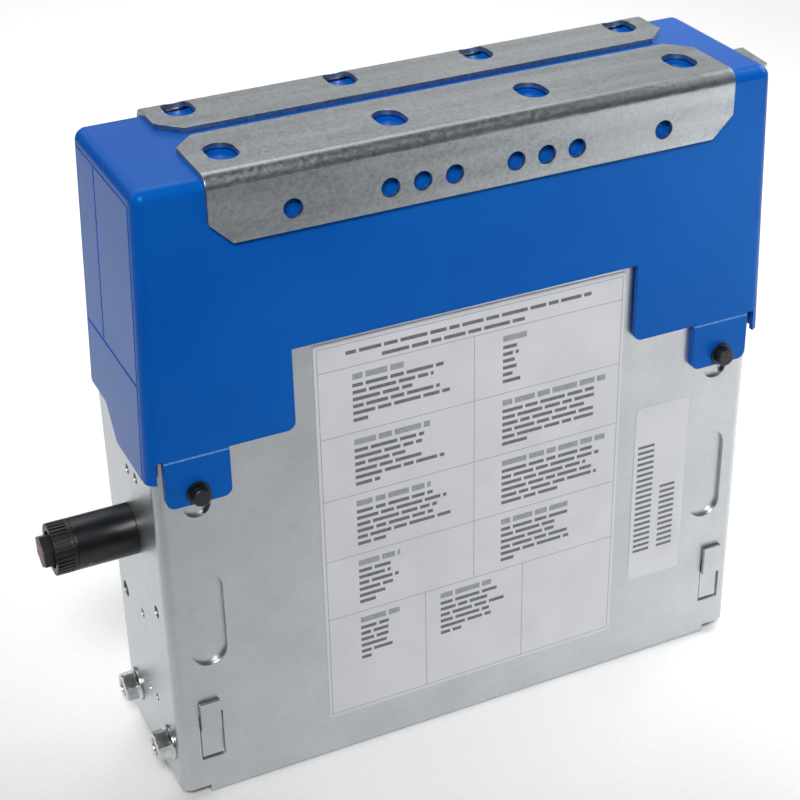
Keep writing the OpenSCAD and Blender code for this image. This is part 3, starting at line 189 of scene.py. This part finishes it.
with_broken_edges("front_frame_plate", sheet, 0.25)
coat(sheet, "rear_frame_plate")


# Spacers, tie bar and screws
# Turned and milled steel, bright zinc plated. The spacers are screwed between the plates,
# the tie bar is welded to them behind the left wall.

# Bright zinc: shiny and slightly blue, with a thin cloudy bloom.
zinc, tree, shader, point = new_finish("bright_zinc_plate", metallic=1.0)
bloom = add_node(tree, "ShaderNodeTexNoise", {"Scale": scale_of(4), "Detail": 4.0},
    {"Vector": point})
colour = add_node(tree, "ShaderNodeValToRGB", {"stops": [(0.35, "#b3b6b8"), (0.65, "#d9dbdb")]},
    {"Fac": bloom.outputs["Fac"]})
sheen = add_node(tree, "ShaderNodeMapRange", {"To Min": 0.16, "To Max": 0.34},
    {"Value": bloom.outputs["Fac"]})
tree.links.new(colour.outputs[0], shader.inputs["Base Color"])
tree.links.new(sheen.outputs[0], shader.inputs["Roughness"])

coat(zinc, "frame_spacers", "frame_screws", "tie_bar")


# Shaft, bearings and sheave
# The sheave is cast iron, turned all over, on two shielded ball bearings. The shaft is
# fixed in both plates, and spacer sleeves and circlips hold the bearings in place.

# Ground steel: bright, with fine marks left by the wheel.
ground, tree, shader, point = new_finish("ground_steel", metallic=1.0)
marks = add_node(tree, "ShaderNodeTexNoise", {"Scale": scale_of(0.8), "Detail": 2.0},
    {"Vector": point})
colour = add_node(tree, "ShaderNodeValToRGB", {"stops": [(0.3, "#9fa1a2"), (0.7, "#c6c8c8")]},
    {"Fac": marks.outputs["Fac"]})
sheen = add_node(tree, "ShaderNodeMapRange", {"To Min": 0.18, "To Max": 0.3},
    {"Value": marks.outputs["Fac"]})
tree.links.new(colour.outputs[0], shader.inputs["Base Color"])
tree.links.new(sheen.outputs[0], shader.inputs["Roughness"])

# Turned cast iron: dark grey with a granular, slightly porous surface.
iron, tree, shader, point = new_finish("turned_cast_iron", metallic=1.0)
pores = add_node(tree, "ShaderNodeTexNoise",
    {"Scale": scale_of(1.5), "Detail": 6.0, "Roughness": 0.7}, {"Vector": point})
colour = add_node(tree, "ShaderNodeValToRGB", {"stops": [(0.35, "#4a4c4e"), (0.65, "#7b7d7e")]},
    {"Fac": pores.outputs["Fac"]})
dull = add_node(tree, "ShaderNodeMapRange", {"To Min": 0.38, "To Max": 0.62},
    {"Value": pores.outputs["Fac"]})
relief = add_node(tree, "ShaderNodeBump", {"Strength": 0.3, "Distance": 0.08 * MM},
    {"Height": pores.outputs["Fac"]})
tree.links.new(colour.outputs[0], shader.inputs["Base Color"])
tree.links.new(dull.outputs[0], shader.inputs["Roughness"])
tree.links.new(relief.outputs[0], shader.inputs["Normal"])

# Phosphated steel: charcoal, matt, with a slightly uneven crystal bloom.
phosphated, tree, shader, point = new_finish("phosphated_steel", metallic=0.6)
crystals = add_node(tree, "ShaderNodeTexNoise", {"Scale": scale_of(1.2), "Detail": 5.0},
    {"Vector": point})
colour = add_node(tree, "ShaderNodeValToRGB", {"stops": [(0.35, "#2b2c2d"), (0.65, "#48494a")]},
    {"Fac": crystals.outputs["Fac"]})
dull = add_node(tree, "ShaderNodeMapRange", {"To Min": 0.5, "To Max": 0.68},
    {"Value": crystals.outputs["Fac"]})
tree.links.new(colour.outputs[0], shader.inputs["Base Color"])
tree.links.new(dull.outputs[0], shader.inputs["Roughness"])

coat(ground, "sheave_shaft", "shaft_sleeves", "bearing_inner_rings", "bearing_outer_rings",
    "bearing_balls")
coat(phosphated, "bearing_circlips")
coat(iron, "sheave")


# Centrifugal weights and ratchet
# Phosphated steel weights on ground pivots, joined by a zinc plated link and held in by a
# tension spring. Their noses catch in the hardened ratchet ring that stands round them.

coat(phosphated, "flyweight_a", "flyweight_b", "pivot_circlips")
coat(ground, "weight_pivots", "link_pin_a", "link_pin_b", "spring_anchor", "ratchet_ring")


def worked_spring(name):
    """A copy of a spring in ground steel, shown in the node's place."""
    mesh = frame["nodes"][name].data.copy()
    mesh.materials.clear()
    mesh.materials.append(ground)
    piece = bpy.data.objects.new(name + "_worked", mesh)
    piece.matrix_world = frame["nodes"][name].matrix_world
    bpy.context.scene.collection.objects.link(piece)
    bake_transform(piece)
    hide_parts(name)


low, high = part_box("governor_spring")
worked_spring("governor_spring")
coat(zinc, "tie_link", "ring_standoffs", "ring_screws")


# Switches
# Two moulded limit switches, screwed to the rear plate. Each one's zinc plated lever has an
# acetal roller that a weight's nose strikes.

# Glass-filled black nylon: satin, with a fine moulded texture and a grey cast where it is
# rubbed.
black_moulding, tree, shader, point = new_finish("moulded_black_nylon", ior=1.53)
texture = add_node(tree, "ShaderNodeTexNoise", {"Scale": scale_of(0.7), "Detail": 2.0},
    {"Vector": point})
rubbed = add_node(tree, "ShaderNodeTexNoise", {"Scale": scale_of(6), "Detail": 3.0},
    {"Vector": point})
colour = add_node(tree, "ShaderNodeValToRGB", {"stops": [(0.4, "#0d0e10"), (0.75, "#1d1f21")]},
    {"Fac": rubbed.outputs["Fac"]})
satin = add_node(tree, "ShaderNodeMapRange", {"To Min": 0.34, "To Max": 0.5},
    {"Value": texture.outputs["Fac"]})
relief = add_node(tree, "ShaderNodeBump", {"Strength": 0.2, "Distance": 0.04 * MM},
    {"Height": texture.outputs["Fac"]})
tree.links.new(colour.outputs[0], shader.inputs["Base Color"])
tree.links.new(satin.outputs[0], shader.inputs["Roughness"])
tree.links.new(relief.outputs[0], shader.inputs["Normal"])

# Acetal: milky white, smooth, a little yellowed at random.
acetal, tree, shader, point = new_finish("turned_acetal", ior=1.48, roughness=0.35)
yellowing = add_node(tree, "ShaderNodeTexNoise", {"Scale": scale_of(5)}, {"Vector": point})
colour = add_node(tree, "ShaderNodeValToRGB", {"stops": [(0.3, "#e2dfd6"), (0.7, "#ecebe6")]},
    {"Fac": yellowing.outputs["Fac"]})
tree.links.new(colour.outputs[0], shader.inputs["Base Color"])

coat(black_moulding, "overspeed_switch", "upward_switch")
coat(zinc, "overspeed_lever", "upward_lever", "switch_standoffs", "switch_screws")
coat(acetal, "overspeed_roller", "upward_roller")


# Housing
# One sheet of galvanised steel, laser cut and folded into a pan: front panel, two side walls
# and a foot. A flat sheet closes the back, held by four pan-head screws.

with_broken_edges("front_shell", sheet, 0.3)
with_broken_edges("rear_panel", sheet, 0.3)
with_broken_edges("rear_panel_screws", zinc, 0.3)


# Side bolts
# Two forged hexagon flange bolts with dished heads, zinc plated, tapped into the tie bar
# through the left wall.

with_broken_edges("side_bolts", zinc, 0.22)


# Reset plunger
# A black anodised guide tube with a ribbed collar is nutted to the left wall. The rod in it
# has a hexagon head with a red disc, and a spring pushes it back out.

# Black anodised aluminium: deep black with a soft grey sheen and faint turning marks.
anodised, tree, shader, point = new_finish("black_anodised_aluminium", ior=1.5)
sheen = add_node(tree, "ShaderNodeTexNoise", {"Scale": scale_of(7), "Detail": 3.0},
    {"Vector": point})
turning = add_node(tree, "ShaderNodeTexWave",
    {"bands_direction": "X", "Scale": scale_of(0.9) / math.tau, "Distortion": 1.5},
    {"Vector": point})
colour = add_node(tree, "ShaderNodeValToRGB", {"stops": [(0.3, "#090b0d"), (0.7, "#131619")]},
    {"Fac": sheen.outputs["Fac"]})
satin = add_node(tree, "ShaderNodeMapRange", {"To Min": 0.26, "To Max": 0.38},
    {"Value": sheen.outputs["Fac"]})
relief = add_node(tree, "ShaderNodeBump", {"Strength": 0.08, "Distance": 0.03 * MM},
    {"Height": turning.outputs["Fac"]})
tree.links.new(colour.outputs[0], shader.inputs["Base Color"])
tree.links.new(satin.outputs[0], shader.inputs["Roughness"])
tree.links.new(relief.outputs[0], shader.inputs["Normal"])

# Red moulded disc: a dull, slightly dusty red.
red_moulding, tree, shader, point = new_finish("moulded_red_plastic", ior=1.49, roughness=0.42)
dust = add_node(tree, "ShaderNodeTexNoise", {"Scale": scale_of(1.4), "Detail": 4.0},
    {"Vector": point})
colour = add_node(tree, "ShaderNodeValToRGB", {"stops": [(0.35, "#7d2423"), (0.75, "#a04a44")]},
    {"Fac": dust.outputs["Fac"]})
tree.links.new(colour.outputs[0], shader.inputs["Base Color"])

with_broken_edges("reset_tube", anodised, 0.4)
with_broken_edges("reset_collar", black_moulding, 0.2)
with_broken_edges("reset_rod", black_moulding, 0.35)
with_broken_edges("reset_cap", red_moulding, 0.15)
coat(anodised, "reset_locknut")
coat(phosphated, "reset_clip")
low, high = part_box("reset_spring")
worked_spring("reset_spring")


# Cover
# Injection-moulded blue ABS, open at the bottom, with a hinged tab under each front leg.
# It slips over the frame and the tabs take the push rivets.

# Height of the tabs' hinge line, half its width, and each tab's middle and half width, in mm
HINGE_Z, HINGE_HALF = 189.2, 0.55
TAB_X, TAB_HALF = 130.8, 15.1

# Moulded ABS: saturated blue with a satin skin and a bluish sheen, an almost invisible fine
# texture, and a painted highlight along the line where the tabs bend.
abs_blue, tree, shader, point = new_finish("moulded_blue_abs", ior=1.53,
    specular_tint=linear("#2caef0"))
flow = add_node(tree, "ShaderNodeTexNoise", {"Scale": scale_of(60), "Detail": 3.0},
    {"Vector": point})
texture = add_node(tree, "ShaderNodeTexNoise", {"Scale": scale_of(1.0), "Detail": 2.0},
    {"Vector": point})
colour = add_node(tree, "ShaderNodeValToRGB", {"stops": [(0.35, "#034ea7"), (0.65, "#0654ac")]},
    {"Fac": flow.outputs["Fac"]})
axes = add_node(tree, "ShaderNodeSeparateXYZ", {}, {0: point})
on_hinge = add_node(tree, "ShaderNodeMath",
    {"operation": "COMPARE", 1: HINGE_Z * MM, 2: HINGE_HALF * MM}, {0: axes.outputs["Z"]})
off_middle = add_node(tree, "ShaderNodeMath", {"operation": "ABSOLUTE"}, {0: axes.outputs["X"]})
in_tab = add_node(tree, "ShaderNodeMath", {"operation": "COMPARE", 1: TAB_X * MM, 2: TAB_HALF * MM},
    {0: off_middle.outputs[0]})
bent = add_node(tree, "ShaderNodeMath", {"operation": "MULTIPLY"},
    {0: on_hinge.outputs[0], 1: in_tab.outputs[0]})
# A pale painted highlight along each tab's hinge line, made uneven by the fine texture
painted_hinge_highlight = add_node(tree, "ShaderNodeMath", {"operation": "MULTIPLY"},
    {0: bent.outputs[0], 1: texture.outputs["Fac"]})
blue = add_node(tree, "ShaderNodeMix", {"data_type": "RGBA", 7: linear("#86b4e6")},
    {0: painted_hinge_highlight.outputs[0], 6: colour.outputs[0]})
satin = add_node(tree, "ShaderNodeMapRange", {"To Min": 0.3, "To Max": 0.4},
    {"Value": flow.outputs["Fac"]})
relief = add_node(tree, "ShaderNodeBump", {"Strength": 0.12, "Distance": 0.03 * MM},
    {"Height": texture.outputs["Fac"]})
tree.links.new(blue.outputs[2], shader.inputs["Base Color"])
tree.links.new(satin.outputs[0], shader.inputs["Roughness"])
tree.links.new(relief.outputs[0], shader.inputs["Normal"])

with_broken_edges("top_cover", abs_blue, 0.22)


# Push rivets
# Black nylon: a split body goes through tab and frame, and its pin spreads it.

with_broken_edges("rivet_bodies", black_moulding, 0.3)
with_broken_edges("rivet_pins", black_moulding, 0.9, steps=4)


# Mounting angles
# Thick sheet, laser cut, folded and then hot-dip galvanised, held by studs and nuts through
# the cover. The clip riveted to the right end is made the same way.

# Hot-dip galvanising: grey mottling and long faint runs, with small dark pits and a dull, uneven
# sheen.
hot_dip, tree, shader, point = new_finish("hot_dip_galvanised_steel", metallic=1.0)
drawn = add_node(tree, "ShaderNodeMapping", {"Scale": (0.12, 1.0, 1.0)}, {"Vector": point})
frost = add_node(tree, "ShaderNodeTexNoise",
    {"Scale": scale_of(1.8), "Detail": 6.0, "Roughness": 0.7}, {"Vector": point})
runs = add_node(tree, "ShaderNodeTexNoise", {"Scale": scale_of(9), "Detail": 4.0},
    {"Vector": drawn.outputs["Vector"]})
cloud = add_node(tree, "ShaderNodeMath", {"operation": "MULTIPLY", 1: 0.62},
    {0: frost.outputs["Fac"]})
tone = add_node(tree, "ShaderNodeMath", {"operation": "MULTIPLY_ADD", 1: 0.38},
    {0: runs.outputs["Fac"], 2: cloud.outputs[0]})
colour = add_node(tree, "ShaderNodeValToRGB",
    {"stops": [(0.33, "#898f94"), (0.5, "#a6abae"), (0.67, "#bdc1c2")]}, {"Fac": tone.outputs[0]})
pits = add_node(tree, "ShaderNodeTexNoise",
    {"Scale": scale_of(2.6), "Detail": 3.0, "Roughness": 0.55}, {"Vector": point})
pit = add_node(tree, "ShaderNodeMapRange",
    {"From Min": 0.67, "From Max": 0.76, "To Min": 0.0, "To Max": 0.6},
    {"Value": pits.outputs["Fac"]})
pitted = add_node(tree, "ShaderNodeMix", {"data_type": "RGBA", 7: linear("#5d6164")},
    {0: pit.outputs[0], 6: colour.outputs[0]})
dull = add_node(tree, "ShaderNodeMapRange",
    {"From Min": 0.3, "From Max": 0.7, "To Min": 0.32, "To Max": 0.46},
    {"Value": frost.outputs["Fac"]})
relief = add_node(tree, "ShaderNodeBump", {"Strength": 0.35, "Distance": 0.06 * MM},
    {"Height": frost.outputs["Fac"]})
tree.links.new(pitted.outputs[2], shader.inputs["Base Color"])
tree.links.new(dull.outputs[0], shader.inputs["Roughness"])
tree.links.new(relief.outputs[0], shader.inputs["Normal"])

with_broken_edges("front_angle", hot_dip, 0.35)
with_broken_edges("rear_angle", hot_dip, 0.35)
with_broken_edges("end_lug", hot_dip, 0.3)
with_broken_edges("end_lug_rivets", zinc, 0.3)
coat(zinc, "angle_studs", "angle_nuts")


# Labels
# Printed polyester film, stuck to the front panel: a large ruled table and a narrow sticker.
# The print is grey bars and stripes.

# Polyester film: cool white, semi-matt, with a faint waviness from the panel under it.
film, tree, shader, point = new_finish("printed_polyester_film", ior=1.57)
waves = add_node(tree, "ShaderNodeTexNoise", {"Scale": scale_of(25), "Detail": 2.0},
    {"Vector": point})
colour = add_node(tree, "ShaderNodeValToRGB", {"stops": [(0.3, "#c7c9ce"), (0.7, "#d0d1d6")]},
    {"Fac": waves.outputs["Fac"]})
satin = add_node(tree, "ShaderNodeMapRange", {"To Min": 0.38, "To Max": 0.5},
    {"Value": waves.outputs["Fac"]})
relief = add_node(tree, "ShaderNodeBump", {"Strength": 0.1, "Distance": 0.1 * MM},
    {"Height": waves.outputs["Fac"]})
tree.links.new(colour.outputs[0], shader.inputs["Base Color"])
tree.links.new(satin.outputs[0], shader.inputs["Roughness"])
tree.links.new(relief.outputs[0], shader.inputs["Normal"])

# Screen-printing inks: a pale one for rules and headings and a darker one for lines and stripes,
# both matt and slightly thin in places.
inks = {}
for shade, full, thinned in (("grey", "#8b8e93", "#9da0a4"), ("dark", "#5c5e63", "#717378")):
    inks[shade], tree, shader, point = new_finish(shade + "_screen_printing_ink", ior=1.5,
        roughness=0.6)
    thin = add_node(tree, "ShaderNodeTexNoise", {"Scale": scale_of(1.5), "Detail": 3.0},
        {"Vector": point})
    colour = add_node(tree, "ShaderNodeValToRGB", {"stops": [(0.3, full), (0.7, thinned)]},
        {"Fac": thin.outputs["Fac"]})
    tree.links.new(colour.outputs[0], shader.inputs["Base Color"])

coat(film, "rating_label", "narrow_sticker")

LABEL_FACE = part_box("rating_label")[0].y
INK_T = 0.02
RULE_W = 0.35
# Left, low, right and high edge of the table, then its rules from the top down, in mm
BORDER = (-73.4, 24.8, 77.4, 223.6)
HEAD_RULE = 211.8
ROWS = (178.5, 146.0, 113.2, 80.6)
MIDDLE = 1.8
FOOT_SPLITS = (-23.8, 28.2)
HEADING_H, LINE_H, LINE_PITCH = 3.0, 1.8, 3.5
HEADING_DROP, FIRST_LINE_DROP = 5.2, 9.6
# Lengths of the bars that stand for words, which are used in turn
WORDS = (10.5, 6.5, 13.0, 8.0, 5.0)
WORD_GAP, SHORTEST_WORD = 1.3, 1


def text_bars(x, z, length, height):
    """Bars of word length that fill one line of print from its left end."""
    bars, at, turn = [], x, int(abs(x) + z)
    while at < x + length - SHORTEST_WORD:
        word = min(WORDS[turn % len(WORDS)], x + length - at)
        bars.append((at, z - height / 2, at + word, z + height / 2))
        at, turn = at + word + WORD_GAP, turn + 1
    return bars


def print_bars(name, bars, shade):
    """Thin printed rectangles, given as left, low, right and high, on the front of a label."""
    shape = bmesh.new()
    for left, low, right, high in bars:
        corners = [shape.verts.new((x * MM, LABEL_FACE - INK_T * MM, z * MM))
            for x, z in ((left, low), (right, low), (right, high), (left, high))]
        shape.faces.new(corners)
    mesh = bpy.data.meshes.new(name)
    shape.to_mesh(mesh)
    shape.free()
    mesh.materials.append(inks[shade])
    piece = bpy.data.objects.new(name, mesh)
    bpy.context.scene.collection.objects.link(piece)
    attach(piece, "housing")


left, low, right, high = BORDER
half = RULE_W / 2
rules = [(left, z - half, right, z + half) for z in (low, high, HEAD_RULE, *ROWS)]
rules += [(x - half, low, x + half, high) for x in (left, right)]
rules += [(MIDDLE - half, ROWS[-1], MIDDLE + half, HEAD_RULE)]
rules += [(x - half, low, x + half, ROWS[-1]) for x in FOOT_SPLITS]
print_bars("label_ruling", rules, "grey")

# Each cell's left and upper edge, the length of its heading and the lengths of its lines
LEFT_CELL, RIGHT_CELL, FOOT_CELL = -57.4, 16.2, -15.9
CELLS = (
    (LEFT_CELL, HEAD_RULE, 25, (44, 39, 30, 42, 47, 7)),
    (LEFT_CELL, ROWS[0], 37, (34, 33, 25, 34, 44, 12)),
    (LEFT_CELL, ROWS[1], 37, (38, 45, 40, 38, 47, 14)),
    (LEFT_CELL, ROWS[2], 21, (16, 16, 20, 17, 15, 9)),
    (LEFT_CELL, ROWS[3], 20, (15, 14, 14, 14, 16, 5)),
    (RIGHT_CELL, HEAD_RULE, 12, (7, 8, 6, 7, 7, 9)),
    (RIGHT_CELL, ROWS[0], 54, (48, 50, 43, 48, 50, 13)),
    (RIGHT_CELL, ROWS[1], 55, (50, 52, 45, 50, 51, 30)),
    (RIGHT_CELL, ROWS[2], 36, (36, 29, 30, 36, 37, 7)),
    (FOOT_CELL, ROWS[3], 27, (31, 25, 34, 26, 27, 11)),
)
# Left end, middle height and length of the two lines at the head of the table
HEAD_LINES = ((-60.0, 219.0, 121), (-43.0, 214.6, 70))
headings, lines = [], []
for x, z, length in HEAD_LINES:
    lines += text_bars(x, z, length, LINE_H)
for x, top, heading, lengths in CELLS:
    headings += text_bars(x, top - HEADING_DROP, heading, HEADING_H)
    for i, length in enumerate(lengths):
        lines += text_bars(x, top - FIRST_LINE_DROP - i * LINE_PITCH, length, LINE_H)
print_bars("label_headings", headings, "grey")
print_bars("label_lines", lines, "dark")

# Left and right edge of each column of stripes and their number
STRIPE_COLUMNS = ((90.6, 99.8, 20), (104.2, 112.8, 12))
STRIPE_FOOT, STRIPE_PITCH, STRIPE_T = 66, 3.2, 1.5
stripes = []
for left, right, count in STRIPE_COLUMNS:
    for low in [STRIPE_FOOT + i * STRIPE_PITCH for i in range(count)]:
        stripes.append((left, low, right, low + STRIPE_T))
print_bars("sticker_stripes", stripes, "dark")


# Studio
# A pale paper floor, one soft key light from the front left, soft boxes above and behind, low
# ones that whiten the floor round the object, and a camera where the photograph was taken from.

# Half the floor's width, and the distances between which it fades into the white room, in metres
FLOOR_HALF = 2.0
FADE_FROM, FADE_TO = 0.9, 1.7

# Studio paper: nearly pure white and matt, with hardly visible fibres.
paper, tree, shader, point = new_finish("white_studio_paper", roughness=0.8)
fibres = add_node(tree, "ShaderNodeTexNoise", {"Scale": scale_of(3)}, {"Vector": point})
colour = add_node(tree, "ShaderNodeValToRGB", {"stops": [(0.3, "#f8f8f8"), (0.7, "#fcfcfc")]},
    {"Fac": fibres.outputs["Fac"]})
reach = add_node(tree, "ShaderNodeVectorMath", {"operation": "LENGTH"}, {0: point})
fade = add_node(tree, "ShaderNodeMapRange",
    {"From Min": FADE_FROM, "From Max": FADE_TO, "To Min": 1.0, "To Max": 0.0},
    {"Value": reach.outputs["Value"]})
tree.links.new(colour.outputs[0], shader.inputs["Base Color"])
tree.links.new(fade.outputs[0], shader.inputs["Alpha"])
mesh = bpy.data.meshes.new("studio_floor")
corners = [(x * FLOOR_HALF, y * FLOOR_HALF, 0) for x, y in ((-1, -1), (1, -1), (1, 1), (-1, 1))]
mesh.from_pydata(corners, [], [(0, 1, 2, 3)])
mesh.materials.append(paper)
floor = bpy.data.objects.new("studio_floor", mesh)
bpy.context.scene.collection.objects.link(floor)


def hang(lamp, place, aim):
    """Places a lamp so that it faces a point, both in metres."""
    held = bpy.data.objects.new(lamp.name, lamp)
    held.location = place
    held.rotation_euler = (Vector(aim) - Vector(place)).to_track_quat("-Z", "Y").to_euler()
    bpy.context.scene.collection.objects.link(held)


KEY_CONE_DEG, KEY_RADIUS, KEY_WATTS = 48, 0.35, 270
key = bpy.data.lights.new("key_light", "SPOT")
key.spot_size, key.spot_blend = math.radians(KEY_CONE_DEG), 1.0
key.shadow_soft_size, key.energy = KEY_RADIUS, KEY_WATTS
hang(key, (-0.75, -1.45, 1.9), (0.45, 0.72, 0.1))

# Each soft box's name, place, aim, width, height and power, in metres and watts
SOFT_BOXES = (
    ("top_box", (0.1, 0.75, 1.2), (0.1, 0.75, 0.0), 1.3, 0.9, 6.8),
    ("back_floor_box", (0.2, 1.0, 0.6), (0.2, 1.0, 0.0), 1.2, 0.7, 2.0),
    ("left_floor_box", (-0.7, 0.35, 0.6), (-0.6, 0.35, 0.0), 0.6, 0.8, 1.2),
    ("right_wall_box", (1.9, 2.2, 0.9), (0.0, 0.0, 0.3), 1.6, 1.3, 3.0),
    ("right_box", (0.55, 0.0, 0.5), (0.5, -0.05, 0.0), 0.4, 0.4, 2.3),
    ("right_floor_box", (0.62, -0.62, 0.15), (0.62, -0.62, 0.0), 0.25, 0.25, 2.4),
)
for name, place, aim, width, height, watts in SOFT_BOXES:
    box = bpy.data.lights.new(name, "AREA")
    box.shape, box.size, box.size_y, box.energy = "RECTANGLE", width, height, watts
    hang(box, place, aim)

# The camera sees the room as white; its light on the object is dim
ROOM_LIGHT = 0.04
world = bpy.data.worlds.new("studio_room")
world.use_nodes = True
tree = world.node_tree
background = tree.nodes["Background"]
background.inputs["Color"].default_value = linear("#ffffff")
ray = add_node(tree, "ShaderNodeLightPath", {})
glow = add_node(tree, "ShaderNodeMapRange", {"To Min": ROOM_LIGHT, "To Max": 1.0},
    {"Value": ray.outputs["Is Camera Ray"]})
tree.links.new(glow.outputs[0], background.inputs["Strength"])
bpy.context.scene.world = world

# The camera's place and lens in mm, its turn about x, y and z in degrees
CAMERA_PLACE = (-326.83, -671.51, 606.1)
CAMERA_TURN = (59.162, 1.034, -25.315)
LENS, SENSOR_W = 83.342, 36

lens = bpy.data.cameras.new("studio_camera")
lens.lens, lens.sensor_width = LENS, SENSOR_W
camera = bpy.data.objects.new("studio_camera", lens)
camera.location = Vector(CAMERA_PLACE) * MM
camera.rotation_euler = [math.radians(a) for a in CAMERA_TURN]
bpy.context.scene.collection.objects.link(camera)
bpy.context.scene.camera = camera
bpy.context.scene.view_settings.view_transform = "Standard"
